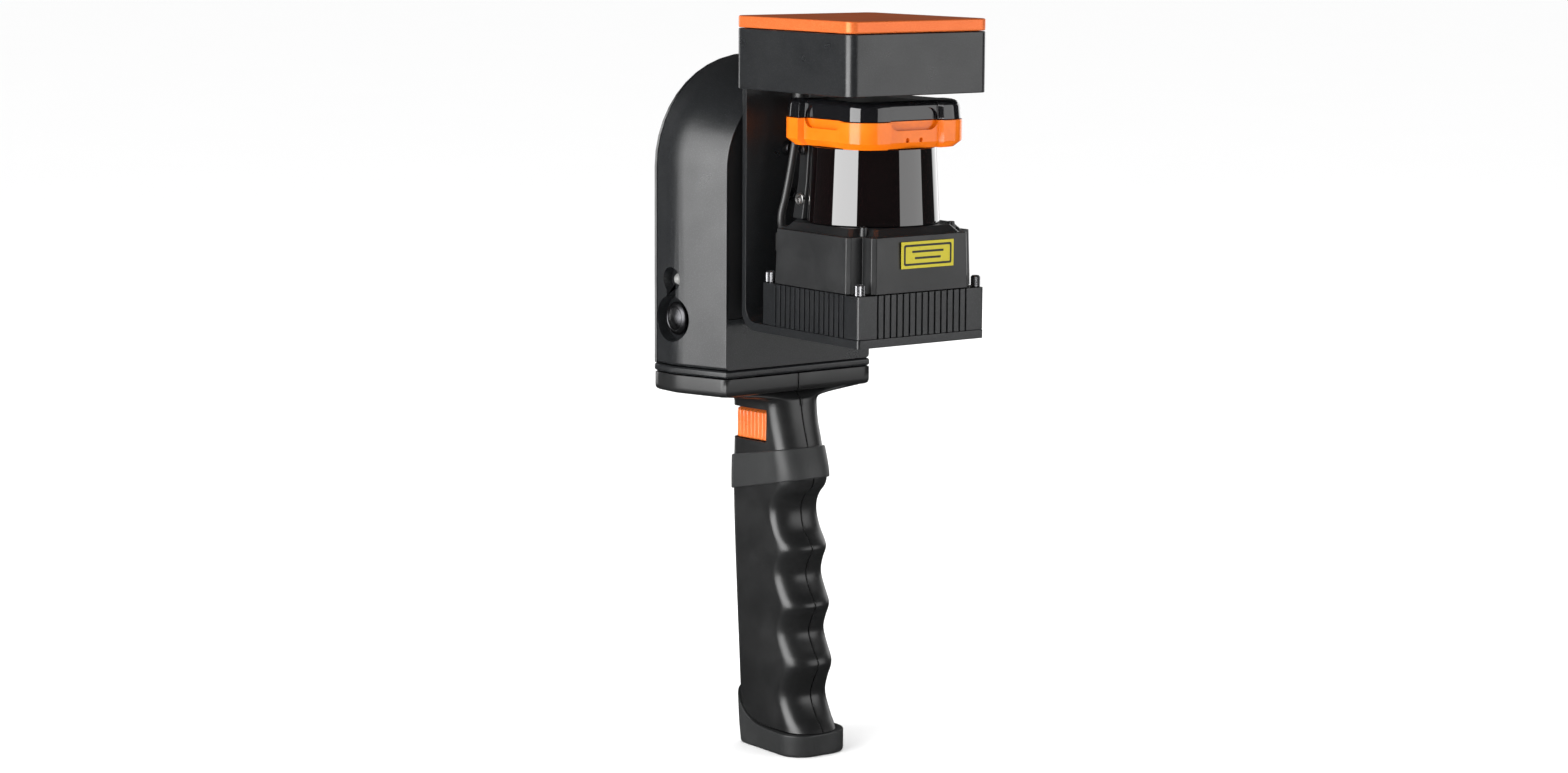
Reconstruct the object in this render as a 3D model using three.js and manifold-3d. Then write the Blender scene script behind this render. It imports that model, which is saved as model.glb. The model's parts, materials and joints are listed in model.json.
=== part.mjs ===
// Hand-held mobile laser scanner on a pistol grip, in millimetres.
// +Z up, -Y towards the scanning head, x = 0 the plane of symmetry, origin at the centre of the grip's base.
// The whole head turns on a motor drive about a line along Y, and the lidar's own rotor turns inside it about Z.
import * as THREE from "three";
import { mergeVertices } from "three/addons/utils/BufferGeometryUtils.js";
import Module from "manifold-3d";

const wasm = await Module();
wasm.setup();

const GAP = 0.3; // between touching pieces
const root = new THREE.Group();

// ---- materials ----
const paint = (color, roughness = 0.5, metalness = 0) => ({ color, roughness, metalness });
const BLACK_METAL = paint(0x26282a, 0.45, 0.3);
const BLACK_PLASTIC = paint(0x202122, 0.55);
const GREY_PLASTIC = paint(0x303132, 0.65);
const GLOSS_BLACK = paint(0x08080a, 0.1);
const ORANGE_METAL = paint(0xf25a1c, 0.4, 0.5);
const ORANGE_PLASTIC = paint(0xff8418, 0.35);
const STEEL = paint(0xb8babd, 0.3, 0.9);
const BOARD = paint(0x1f5a34, 0.6);
const WRAP = paint(0x2f5fa8, 0.5);
const YELLOW = paint(0xf0d21a, 0.5);
const MIRROR = paint(0xdfe3e6, 0.05, 1);
const AMBER = paint(0xf4f1e6, 0.2);

// ---- solids ----
function toSolid(geometry) {
  const bare = geometry.clone();
  bare.deleteAttribute("normal");
  bare.deleteAttribute("uv");
  const merged = mergeVertices(bare, 1e-4);
  const mesh = new wasm.Mesh({
    numProp: 3,
    vertProperties: merged.attributes.position.array,
    triVerts: new Uint32Array(merged.index.array),
  });
  return new wasm.Manifold(mesh);
}

function toGeometry(solid) {
  const mesh = solid.getMesh();
  const geometry = new THREE.BufferGeometry();
  geometry.setAttribute("position", new THREE.BufferAttribute(mesh.vertProperties, 3));
  geometry.setIndex(new THREE.BufferAttribute(mesh.triVerts, 1));
  const flat = geometry.toNonIndexed();
  flat.computeVertexNormals();
  return flat;
}

function add(name, solid, material) {
  const mesh = new THREE.Mesh(toGeometry(solid), new THREE.MeshStandardMaterial(material));
  mesh.name = name;
  root.add(mesh);
}

const box = (x0, x1, y0, y1, z0, z1) =>
  toSolid(
    new THREE.BoxGeometry(x1 - x0, y1 - y0, z1 - z0)
      .translate((x0 + x1) / 2, (y0 + y1) / 2, (z0 + z1) / 2),
  );

// A rod along an axis ("x", "y" or "z") from a to b; p and q are its other two coordinates in X, Y, Z order.
function rod(axis, p, q, a, b, r0, r1 = r0, sides = 20) {
  const g = new THREE.CylinderGeometry(r1, r0, b - a, sides).translate(0, (a + b) / 2, 0);
  if (axis === "z") g.rotateX(Math.PI / 2).translate(p, q, 0);
  if (axis === "x") g.rotateZ(-Math.PI / 2).translate(0, p, q);
  if (axis === "y") g.translate(p, 0, q);
  return toSolid(g);
}

// Rings of [x, y, z] points, each anticlockwise seen from the far end, skinned and capped.
function loft(rings) {
  const n = rings[0].length;
  const points = rings.flat();
  const centre = (ring) => [0, 1, 2].map((k) => ring.reduce((s, p) => s + p[k], 0) / n);
  points.push(centre(rings[0]), centre(rings.at(-1)));
  const index = [];
  for (let i = 0; i < rings.length - 1; i++)
    for (let j = 0; j < n; j++) {
      const a = i * n + j;
      const b = i * n + ((j + 1) % n);
      index.push(a, b, b + n, a, b + n, a + n);
    }
  const last = (rings.length - 1) * n;
  for (let j = 0; j < n; j++) {
    const k = (j + 1) % n;
    index.push(points.length - 2, k, j);
    index.push(points.length - 1, last + j, last + k);
  }
  const g = new THREE.BufferGeometry();
  g.setAttribute("position", new THREE.Float32BufferAttribute(points.flat(), 3));
  g.setIndex(index);
  return toSolid(g);
}

// An outline of [u, v] points extruded along an axis from a to b, with an optional chamfer at both ends.
function prism(outline, a, b, axis = "z", chamfer = 0) {
  const shape = new THREE.Shape(outline.map(([u, v]) => new THREE.Vector2(u, v)));
  const g = new THREE.ExtrudeGeometry(shape, {
    depth: b - a - 2 * chamfer,
    bevelEnabled: chamfer > 0,
    bevelThickness: chamfer,
    bevelSize: chamfer,
    bevelOffset: -chamfer,
    bevelSegments: 1,
  }).translate(0, 0, a + chamfer);
  if (axis === "x") g.applyMatrix4(new THREE.Matrix4().set(0, 0, 1, 0, 1, 0, 0, 0, 0, 1, 0, 0, 0, 0, 0, 1));
  if (axis === "y") g.rotateX(Math.PI / 2).scale(1, -1, 1);
  const turned = axis === "y" ? flip(g) : g;
  return toSolid(turned);
}

function flip(geometry) {
  const g = geometry.index ? geometry.toNonIndexed() : geometry;
  const p = g.attributes.position;
  for (let i = 0; i < p.count; i += 3) {
    const keep = [p.getX(i), p.getY(i), p.getZ(i)];
    p.setXYZ(i, p.getX(i + 1), p.getY(i + 1), p.getZ(i + 1));
    p.setXYZ(i + 1, ...keep);
  }
  return g;
}

const arc = (u, v, r, from, to, steps) =>
  Array.from({ length: steps + 1 }, (_, i) => {
    const t = THREE.MathUtils.degToRad(from + ((to - from) * i) / steps);
    return [u + r * Math.cos(t), v + r * Math.sin(t)];
  });

// A rectangle with rounded corners, centred at (u, v).
function roundedRect(u, v, hu, hv, r, steps = 3) {
  return [
    ...arc(u + hu - r, v + hv - r, r, 0, 90, steps),
    ...arc(u - hu + r, v + hv - r, r, 90, 180, steps),
    ...arc(u - hu + r, v - hv + r, r, 180, 270, steps),
    ...arc(u + hu - r, v - hv + r, r, 270, 360, steps),
  ];
}

// A straight line through [position, value] pairs, or a smooth one through them.
function along(table, at) {
  if (at <= table[0][0]) return table[0][1];
  const i = table.findIndex(([p]) => p >= at);
  if (i < 0) return table.at(-1)[1];
  const [[p0, v0], [p1, v1]] = [table[i - 1], table[i]];
  return v0 + ((v1 - v0) * (at - p0)) / (p1 - p0);
}

function smooth(table, at) {
  const i = Math.max(1, table.findIndex(([p]) => p >= at));
  const pick = (k) => table[Math.min(Math.max(k, 0), table.length - 1)];
  const [p0, v0] = pick(i - 1);
  const [p1, v1] = pick(i);
  const slope = (a, b) => (b[0] === a[0] ? 0 : (b[1] - a[1]) / (b[0] - a[0]));
  const m0 = slope(pick(i - 2), pick(i)) * (p1 - p0);
  const m1 = slope(pick(i - 1), pick(i + 1)) * (p1 - p0);
  const t = Math.min(Math.max((at - p0) / (p1 - p0), 0), 1);
  const t2 = t * t;
  const t3 = t2 * t;
  return (2 * t3 - 3 * t2 + 1) * v0 + (t3 - 2 * t2 + t) * m0 + (-2 * t3 + 3 * t2) * v1 + (t3 - t2) * m1;
}

// ---- driving dimensions ----
const GRIP = { cornerR: 5, noseDepth: 7.6, taper: 2.1 };
// Front of the grip on the centre plane, [z, y]: finger grooves and ridges.
const FRONT = [
  [0, -19.5], [9.4, -18.6], [14, -14.6], [22.5, -10.3], [29, -12.2], [35.5, -15.5], [41, -12.2],
  [47.5, -8.9], [53, -10.4], [58.5, -13.3], [64, -9.8], [70.2, -6.9], [76, -8.2], [81.3, -11],
  [88, -5.4], [95.5, -3.4], [101, -5], [105.8, -10.4], [110.5, -11.4], [122.5, -7.2], [131.6, -4.3],
  [139.3, -2.9], [150, -2.8],
];
const BACK = [[0, 19], [10, 20.5], [35, 22.3], [81, 25.4], [105, 26.4], [131, 26], [150, 26]];
const WIDTH = [[0, 13.5], [105, 13.6], [125, 13.5], [150, 14.2]];
const BATTERY = { y: 6.5, r: 9.2, z0: 15, z1: 80 };
const COLLAR = { frontLow: 110.3, frontHigh: 122.9, backLow: 101, backHigh: 114.8, proud: 1 };
const BUTTON = { y0: 4.6, z0: 122.8, z1: 135, inset: 1, x1: -3.5, travel: 1.5 };
const FLANGE = { z0: 143, z1: 149.8 };
const ADAPTER = { z0: 150.1, z1: 153 };
const HOUSING = {
  z0: 153.3, arch: 230, front: -1.2, bevelEnd: 22.8, back: 33.8, narrow: 35, wide: 43.1, wall: 2.5,
};
const COVER = { y0: 34.1, y1: 37.2 };
const PORT = { y: 20.5, z: 178, boreR: 4.3, shellR: 5.4, rimR: 7 };
const POWER = { y: 24.6, z: 171.5, r: 9, floor: -38.4, buttonR: 6.5, travel: 1.2 };
const LED = { y: 24.6, z: 186.8, r: 4.85, floor: -38.9, domeR: 2.3 };
const BRACKET = { halfWidth: 30, y0: -7, y1: -3.7, z0: 169.7, z1: 172.8, top: 261.7, front: -77.2, bendR: 6 };
// The head's motor drive: the shaft's line, the turntable behind the bracket, and the motor on the front wall.
const DRIVE = {
  z: 230, tableR: 24, shaftR: 4, boreR: 2.2, bearingR: 9, motorR: 17, motorY0: 3.5, motorY1: 15.5,
};
const HEAD = { halfX: 32.8, y0: -75, y1: -2.9, z0: 262, z1: 284.8, lidTop: 289.6, r: 4, wall: 2 };
const LIDAR = {
  y: -47.2, half: 30, z0: 173.1, baseTop: 189, shoulder: 210.2, bodyTop: 213, windowTop: 242, bandTop: 252.2,
  capTop: 259.6, bodyHalf: 29.5, notch: 22.8, notchChamfer: 1.4, knob: 20.9, knobR: 1.8,
  screw: 27.6, screwR: 1.8,
  windowLowR: 25.1, windowHighR: 23.5, capHalf: 26.4, capR: 10, recessHalf: 12.6, recessDepth: 2.2,
  slotHalf: 11.4, slotZ0: 248.8, slotZ1: 257, slotDepth: 1.5,
};

// ---- grip ----
// A cross-section at height z, shrunk inwards by inset: elliptical nose, sides that widen to rounded back corners.
function gripSection(z, inset = 0, height = z) {
  const front = smooth(FRONT, z) + inset;
  const back = along(BACK, z) - inset;
  const w = along(WIDTH, z) - inset;
  const nose = GRIP.noseDepth + inset;
  const r = Math.max(GRIP.cornerR - inset, 1);
  const half = [];
  for (let i = 0; i <= 6; i++) {
    const t = (i / 6) * (Math.PI / 2);
    half.push([(w - GRIP.taper) * Math.sin(t), front + nose - nose * Math.cos(t)]);
  }
  half.push(...arc(w - r, back - r, r, 0, 90, 3));
  const mirrored = half.slice(1).reverse().map(([x, y]) => [-x, y]);
  return [...half, ...mirrored].map(([x, y]) => [x, y, height]);
}

// The end-cap joint rises in a curve towards the back of the grip, [y, z].
const CAP_SEAM = [
  [-40, 8.6], [-8, 8.7], [2, 9], [7.5, 9.8], [11.7, 11.5], [14.9, 13.6], [17.5, 16.3], [19.5, 18.8], [21.5, 21.5],
  [24, 24.5],
];

const belowSeam = (offset) =>
  prism([...CAP_SEAM.map(([y, z]) => [y, z + offset]), [40, 60], [40, -40], [-40, -40]].reverse(), -40, 40, "x");

function gripBody() {
  const heights = [8, 12, 17, 22, 27, 31, 35.5, 40, 47.5, 54, 58.5, 63, 70, 76, 81.3, 86, 91, 96, 101, 105.8, 110];
  heights.push(116, 122, 128, 134, 140.5);
  return loft(heights.map((z) => gripSection(z)));
}

// Plan of the flange, adapter plate and housing: narrow front, splayed sides, rounded back.
function plan(inset = 0, extra = 0) {
  const { narrow, wide, front, bevelEnd } = HOUSING;
  const back = COVER.y1;
  const r = 3;
  return [
    [-narrow + inset * 0.6, front + inset - extra],
    [narrow - inset * 0.6, front + inset - extra],
    [wide - inset + extra, bevelEnd],
    ...arc(wide - inset + extra - r, back - inset + extra - r, r, 0, 90, 2),
    ...arc(-wide + inset - extra + r, back - inset + extra - r, r, 90, 180, 2),
    [-wide + inset - extra, bevelEnd],
  ];
}

function flange() {
  const at = (outline, z) => outline.map(([x, y]) => [x, y, z]);
  return loft([at(plan(3.4), 142.2), at(plan(0.5), 143.6), at(plan(), 145), at(plan(), FLANGE.z1)]);
}

// The sloping underside of the flange, with a small fillet where it meets the neck: [height, spread].
const SKIRT = [[137, 0], [138.8, 0.02], [139.9, 0.1], [140.7, 0.35], [142.6, 1]];

function skirt() {
  const rings = SKIRT.map(([z, spread]) =>
    gripSection(Math.min(z, 141), 0, z).map(([x, y]) => [
      x * (1 + 1.6 * spread),
      y < 8 ? y + spread * 1.2 : y + (y - 8) * 0.42 * spread,
      z,
    ]));
  return loft(rings);
}

const batteryBay = () => rod("z", 0, BATTERY.y, 4, BATTERY.z1 + 4, BATTERY.r + 0.5, BATTERY.r + 0.5, 28);

const buttonNotch = () => box(-30, -1.7, BUTTON.y0 - GAP, 40, BUTTON.z0 - GAP, BUTTON.z1 + GAP);

const collarRegion = (grow) => {
  const { frontLow, frontHigh, backLow, backHigh } = COLLAR;
  const outline = [
    [-16, frontLow - grow], [28, backLow - grow], [28, backHigh + grow], [-16, frontHigh + grow],
  ];
  return prism(outline, -30, 30, "x");
};

function gripHollow() {
  return batteryBay()
    .add(rod("z", 0, BATTERY.y, 80, 106, 6, 6, 16))
    .add(box(-9.3, 9.3, 2.5, 20.5, 104, 140))
    .add(rod("z", 0, 12, 130, 160, 8, 8, 20));
}

function gripSolid() {
  const body = gripBody().subtract(belowSeam(GAP));
  const waist = loft([98, 104, 110, 116, 124].map((z) => gripSection(z, -5)))
    .subtract(loft([98, 104, 110, 116, 124].map((z) => gripSection(z, 1.2))))
    .intersect(collarRegion(GAP));
  return body
    .subtract(waist)
    .add(skirt())
    .add(flange())
    .subtract(gripHollow());
}

const CAP_SCREWS = [[-10.6, 13.4], [10.6, 13.4]];
// Height and depth of each screw that joins the halves, and where its head ends.
const GRIP_SCREWS = [[16.8, 92, 12.6], [-7.5, 58.5, 8.4]];

function gripHalves() {
  let solid = gripSolid();
  for (const [x, y] of CAP_SCREWS) solid = solid.subtract(rod("z", x, y, 0, 26, 1.5, 1.5, 12));
  for (const [y, z, top] of GRIP_SCREWS) {
    solid = solid.subtract(rod("x", y, z, -7, 40, 1.5, 1.5, 12));
    solid = solid.subtract(rod("x", y, z, top - 2.2, 40, 2.9, 2.9, 16));
  }
  const left = solid.intersect(box(-60, -GAP / 2, -60, 60, 0, 170)).subtract(buttonNotch());
  const switchPost = box(2.8, 10, 8, 15, 125, 132);
  const right = solid.intersect(box(GAP / 2, 60, -60, 60, 0, 170)).add(switchPost);
  add("grip_half_left", left, BLACK_PLASTIC);
  add("grip_half_right", right, BLACK_PLASTIC);
  GRIP_SCREWS.forEach(([y, z, top], i) => {
    const screw = rod("x", y, z, -6, top - 1, 1.2, 1.2, 12).add(rod("x", y, z, top - 1.9, top, 2.5, 2.5, 16));
    add("grip_screw_" + (i + 1), screw.subtract(box(top - 0.7, top + 1, y - 0.5, y + 0.5, z - 2, z + 2)), STEEL);
  });
}

function gripCollar() {
  const heights = [98, 104, 110, 116, 124];
  const ring = loft(heights.map((z) => gripSection(z, -COLLAR.proud)))
    .subtract(loft([96, ...heights, 126].map((z) => gripSection(z, 0.9))))
    .intersect(collarRegion(0));
  add("grip_collar", ring, GREY_PLASTIC);
}

// The end cap's section at height z: it follows the grip's back, stands a little proud, and is rounder in front.
function capSection(z, inset) {
  const front = -19.5 + inset;
  const back = along(BACK, z) + 0.8 - inset;
  const half = 14.4 - inset;
  const backR = 5 - inset;
  const frontR = 10 - inset;
  return [
    ...arc(half - backR, back - backR, backR, 0, 90, 3),
    ...arc(backR - half, back - backR, backR, 90, 180, 3),
    ...arc(frontR - half, front + frontR, frontR, 180, 270, 5),
    ...arc(half - frontR, front + frontR, frontR, 270, 360, 5),
  ].map(([x, y]) => [x, y, z]);
}

function endCap() {
  let cap = loft([capSection(0, 0.9), capSection(0.9, 0), capSection(9, 0), capSection(20, 0), capSection(34, 0)])
    .intersect(belowSeam(0))
    .subtract(rod("z", 0, BATTERY.y, 8, 44, BATTERY.r + 0.5, BATTERY.r + 0.5, 28));
  for (const [x, y] of CAP_SCREWS)
    cap = cap.subtract(rod("z", x, y, -1, 40, 1.5, 1.5, 12)).subtract(rod("z", x, y, -1, 3.4, 2.9, 2.9, 16));
  add("end_cap", cap, GREY_PLASTIC);
  CAP_SCREWS.forEach(([x, y], i) => {
    const screw = rod("z", x, y, 3, 20, 1.2, 1.2, 12).add(rod("z", x, y, 0.9, 3.1, 2.5, 2.5, 16));
    add("cap_screw_" + (i + 1), screw.subtract(box(x - 0.5, x + 0.5, y - 2, y + 2, 0, 1.8)), STEEL);
  });
}

function battery() {
  const { y, r, z0, z1 } = BATTERY;
  const cell = rod("z", 0, y, z0, z1, r, r, 24).add(rod("z", 0, y, z1, z1 + 1.2, 3.2, 3.2, 16));
  add("battery_cell", cell, WRAP);
  const leaf = box(-5, 5, y - 2.5, y + 2.5, 8.6, 9.2)
    .add(box(-5, -4.2, y - 2.5, y + 2.5, 9.1, 14.4))
    .add(box(-5, 4, y - 2.5, y + 2.5, 13.9, 14.5));
  add("battery_contact_spring", leaf, STEEL);
}

// ---- thumb button ----
function thumbButton() {
  const { y0, z0, z1, inset, x1 } = BUTTON;
  const heights = [118, 126, 134, 139];
  const shell = loft(heights.map((z) => gripSection(z, inset)))
    .subtract(loft(heights.map((z) => gripSection(z, inset + 3, z + (z > 130 ? 0.5 : -0.5)))))
    .intersect(box(-30, x1, y0, 40, z0, z1));
  let button = shell;
  for (let i = 0; i < 5; i++) {
    const y = y0 + 3 + i * 2.8;
    button = button.subtract(box(-13.2, -12.1, y - 0.55, y + 0.55, z0 - 1, z1 + 1));
  }
  button = button
    .add(box(-10.6, -7.8, 4.6, 18, z0 + 0.4, z1 - 0.4))
    .add(box(-8.9, -7.7, 3.2, 18, z0 - 1.9, z1 + 1.9))
    .add(box(-8, -6.4, 9, 15, 126, 131));
  add("thumb_button", button, ORANGE_PLASTIC);
  const plunger = rod("x", 12, 128.5, -6.1, -4.2, 1.2, 1.2, 12);
  add("thumb_switch_plunger", plunger, GREY_PLASTIC);
  const body = box(-4, 2.5, 5, 18, 125, 132).subtract(rod("x", 12, 128.5, -5, -1.8, 1.5, 1.5, 12));
  add("thumb_switch", body, BLACK_PLASTIC);
}

// ---- adapter plate and housing ----
function adapterPlate() {
  const plate = prism(plan(0, 0.2), ADAPTER.z0, ADAPTER.z1, "z", 0.6);
  add("adapter_plate", plate.subtract(rod("z", 0, 12, 140, 160, 8, 8, 24)), BLACK_METAL);
}

// The arched outline of the housing in X and Z, shrunk by inset.
function arch(halfWidth, bottom, steps = 22) {
  return [[-halfWidth, bottom], [halfWidth, bottom], ...arc(0, HOUSING.arch, halfWidth, 0, 180, steps)];
}

// Rings run from the back to the front, so that each is anticlockwise seen from the front.
function archLoft(rows) {
  return loft(rows.map(([y, halfWidth, bottom]) => arch(halfWidth, bottom).map(([x, z]) => [x, y, z])));
}

function housingShell() {
  const { z0, front, bevelEnd, back, narrow, wide, wall } = HOUSING;
  const outer = archLoft([[back, wide, z0], [bevelEnd, wide, z0], [front, narrow, z0]]);
  const inner = archLoft([
    [back + 1, wide - wall, z0 + wall],
    [bevelEnd, wide - wall, z0 + wall],
    [front + wall + 1.5, narrow - wall - 0.8, z0 + wall],
  ]);
  const boss = box(-43, POWER.floor + 3, 12, 33, 158, 195).intersect(outer);
  const panelPocket = archLoft([[front + 1.5, narrow - 0.5, 173], [front - 1, narrow - 0.5, 173]]);
  const bearingSeat = rod("y", 0, DRIVE.z, front - 1, 5, DRIVE.bearingR + GAP, DRIVE.bearingR + GAP, 32);
  const switchBore = rod("x", POWER.y, POWER.z, -45, -30, 3.2, 3.2, 16);
  const ledBore = rod("x", LED.y, LED.z, -45, -30, 1.6, 1.6, 12);
  const recess = rod("x", POWER.y, POWER.z, -45, POWER.floor, POWER.r, POWER.r, 36)
    .add(rod("x", LED.y, LED.z, -45, LED.floor, LED.r, LED.r, 28))
    .add(box(-45, LED.floor, POWER.y - 2.4, POWER.y + 2.4, POWER.z + 6, LED.z - 3));
  const wireHole = rod("z", 0, 12, 140, 160, 8, 8, 24);
  const portHole = rod("x", PORT.y, PORT.z, 35, 50, PORT.shellR + GAP, PORT.shellR + GAP, 24);
  return outer
    .subtract(inner)
    .add(boss)
    .subtract(panelPocket)
    .subtract(bearingSeat)
    .subtract(recess)
    .subtract(switchBore)
    .subtract(ledBore)
    .subtract(wireHole)
    .subtract(portHole);
}

function backCover() {
  const { y0, y1 } = COVER;
  const { wide, z0 } = HOUSING;
  let cover = archLoft([[y1, wide - 2, z0 + 0.6], [y1 - 1, wide - 0.5, z0], [y0, wide, z0]]);
  for (const [x, z] of [[-28, 166], [28, 166], [-28, 226], [28, 226]])
    cover = cover.add(rod("y", x, z, 27.4, y0 + 0.5, 2.6, 3, 14));
  const spots = [[-36, 162], [36, 162], [-34, 236], [34, 236]];
  for (const [x, z] of spots)
    cover = cover
      .subtract(rod("y", x, z, y0 - 1, y1 + 1, 1.6, 1.6, 12))
      .subtract(rod("y", x, z, y1 - 1.9, y1 + 1, 3, 3, 16));
  add("back_cover", cover, BLACK_METAL);
  spots.forEach(([x, z], i) => {
    const screw = rod("y", x, z, y0 + 0.1, y1 - 1.2, 1.3, 1.3, 12)
      .add(rod("y", x, z, y1 - 1.6, y1 - 0.3, 2.6, 2.6, 16));
    add("cover_screw_" + (i + 1), screw.subtract(rod("y", x, z, y1 - 1.1, y1, 1.2, 1.2, 6)), STEEL);
  });
}

function housing() {
  add("housing_shell", housingShell(), BLACK_METAL);
  backCover();
  const { front, narrow } = HOUSING;
  const panel = archLoft([[front + 1.2, narrow - 0.8, 173.3], [front + 0.3, narrow - 0.8, 173.3]]);
  const panelHole = rod("y", 0, DRIVE.z, front - 1, front + 2, DRIVE.bearingR + GAP, DRIVE.bearingR + GAP, 32);
  add("front_panel", panel.subtract(panelHole), paint(0x141517, 0.6, 0.2));
  add("main_board", box(-31.5, 31.5, 25.5, 27.1, 160, 250), BOARD);
  const port = rod("x", PORT.y, PORT.z, 34.6, 44.6, PORT.shellR, PORT.shellR, 24)
    .add(rod("x", PORT.y, PORT.z, 43.4, 44.6, PORT.rimR, PORT.rimR, 28))
    .subtract(rod("x", PORT.y, PORT.z, 36.6, 50, PORT.boreR, PORT.boreR, 20));
  add("data_port", port, STEEL);
}

function powerControls() {
  const { y, z, floor, buttonR } = POWER;
  const dome = [[0, -42.4], [2.4, -42.1], [4.6, -41.3], [6, -40.6], [buttonR, -39.9], [buttonR, floor - 1.5]];
  const profile = [[0, floor - 1.5], ...dome.slice(1).reverse(), dome[0]].map(([r, x]) => new THREE.Vector2(r, -x));
  const g = new THREE.LatheGeometry(profile, 32).rotateZ(Math.PI / 2).translate(0, y, z);
  const button = toSolid(g).add(rod("x", y, z, floor - 1.6, -33.6, 2.8, 2.8, 16))
    .add(rod("x", y, z, -35.1, -33.6, 4.2, 4.2, 20));
  add("power_button", button, BLACK_PLASTIC);
  add("power_switch", box(-32.1, -28.5, y - 4, y + 0.6, z - 4, z + 4), GREY_PLASTIC);
  const led = rod("x", LED.y, LED.z, LED.floor - 2.1, LED.floor - GAP, 1.4, LED.domeR, 20)
    .add(rod("x", LED.y, LED.z, LED.floor - 0.4, -33.6, 1.3, 1.3, 12));
  add("status_led", led, AMBER);
}

// ---- bracket ----
function bracket() {
  const { halfWidth, y0, y1, z0, z1, top, front, bendR } = BRACKET;
  const t = y1 - y0;
  const outline = [
    [front, z0],
    ...arc(y1 - bendR - t, z0 + bendR + t, bendR + t, -90, 0, 5),
    [y1, top],
    [y0, top],
    ...arc(y0 - bendR, z1 + bendR, bendR, 0, -90, 5),
    [front, z1],
  ];
  const corners = prism(roundedRect(0, (front + y1) / 2, halfWidth, (y1 - front) / 2, 1.2, 2), z0 - 1, top + 1);
  let body = prism(outline, -halfWidth, halfWidth, "x").intersect(corners);
  body = body.subtract(rod("y", 0, DRIVE.z, -12, 0, DRIVE.boreR, DRIVE.boreR, 16));
  for (const [x, z] of BRACKET_SCREWS) body = body.subtract(rod("y", x, z, -12, 0, 1.7, 1.7, 12));
  for (const [x, y] of SHELF_SCREWS)
    body = body
      .subtract(rod("z", x, y, 160, 180, 1.7, 1.7, 12))
      .subtract(rod("z", x, y, 160, z0 + 2, 3.1, 3.1, 18));
  add("bracket", body, BLACK_METAL);
}

const BRACKET_SCREWS = [[-1, 1], [1, 1], [-1, -1], [1, -1]].map(([u, v]) => [u * 10.6, DRIVE.z + v * 8.6]);
const SHELF_SCREWS = [[-20, -67.2], [20, -67.2], [-20, -27.2], [20, -27.2]];

function socketScrew(axis, p, q, tip, seat, headTop, headR, shankR) {
  const dir = Math.sign(headTop - seat);
  const neck = seat + dir * 0.2;
  const shank = rod(axis, p, q, Math.min(tip, neck), Math.max(tip, neck), shankR, shankR, 12);
  const head = rod(axis, p, q, Math.min(seat, headTop), Math.max(seat, headTop), headR, headR, 20);
  const socketEnd = headTop - dir * 1.4;
  const mouth = headTop + dir;
  const socket = rod(axis, p, q, Math.min(socketEnd, mouth), Math.max(socketEnd, mouth), 1.45, 1.45, 6);
  return shank.add(head).subtract(socket);
}

// The turntable and its hollow shaft carry the bracket; the bearing, motor and slip ring stay in the housing.
function drive() {
  const { z, tableR, shaftR, boreR, bearingR, motorR, motorY0, motorY1 } = DRIVE;
  const ring = (y0, y1, outer, inner) =>
    rod("y", 0, z, y0, y1, outer, outer, 32).subtract(rod("y", 0, z, y0 - 1, y1 + 1, inner, inner, 24));
  const slipEnd = 24.8;
  let table = ring(BRACKET.y1 + GAP, HOUSING.front - GAP, tableR, boreR)
    .add(ring(HOUSING.front - GAP - 0.1, slipEnd - 1, shaftR, boreR));
  for (const [x, h] of BRACKET_SCREWS) table = table.subtract(rod("y", x, h, -12, 0, 1.7, 1.7, 12));
  add("turntable", table, GREY_PLASTIC);
  add("front_bearing", ring(HOUSING.front + 0.4, 3, bearingR, shaftR + GAP), STEEL);
  add("drive_motor", ring(motorY0, motorY1, motorR, shaftR + GAP), STEEL);
  add("slip_ring", ring(motorY1 + GAP, slipEnd, 9.5, shaftR + GAP), BLACK_PLASTIC);
}

function bracketScrews() {
  BRACKET_SCREWS.forEach(([x, z], i) => {
    const tip = HOUSING.front - GAP;
    const screw = socketScrew("y", x, z, tip, BRACKET.y0 - 0.2, BRACKET.y0 - 3.2, 2.75, 1.4);
    add("bracket_screw_" + (i + 1), screw, STEEL);
  });
  SHELF_SCREWS.forEach(([x, y], i) => {
    const screw = socketScrew("z", x, y, 176, BRACKET.z0 + 1.7, BRACKET.z0 + 0.1, 2.75, 1.4);
    add("shelf_screw_" + (i + 1), screw, STEEL);
  });
}

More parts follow.
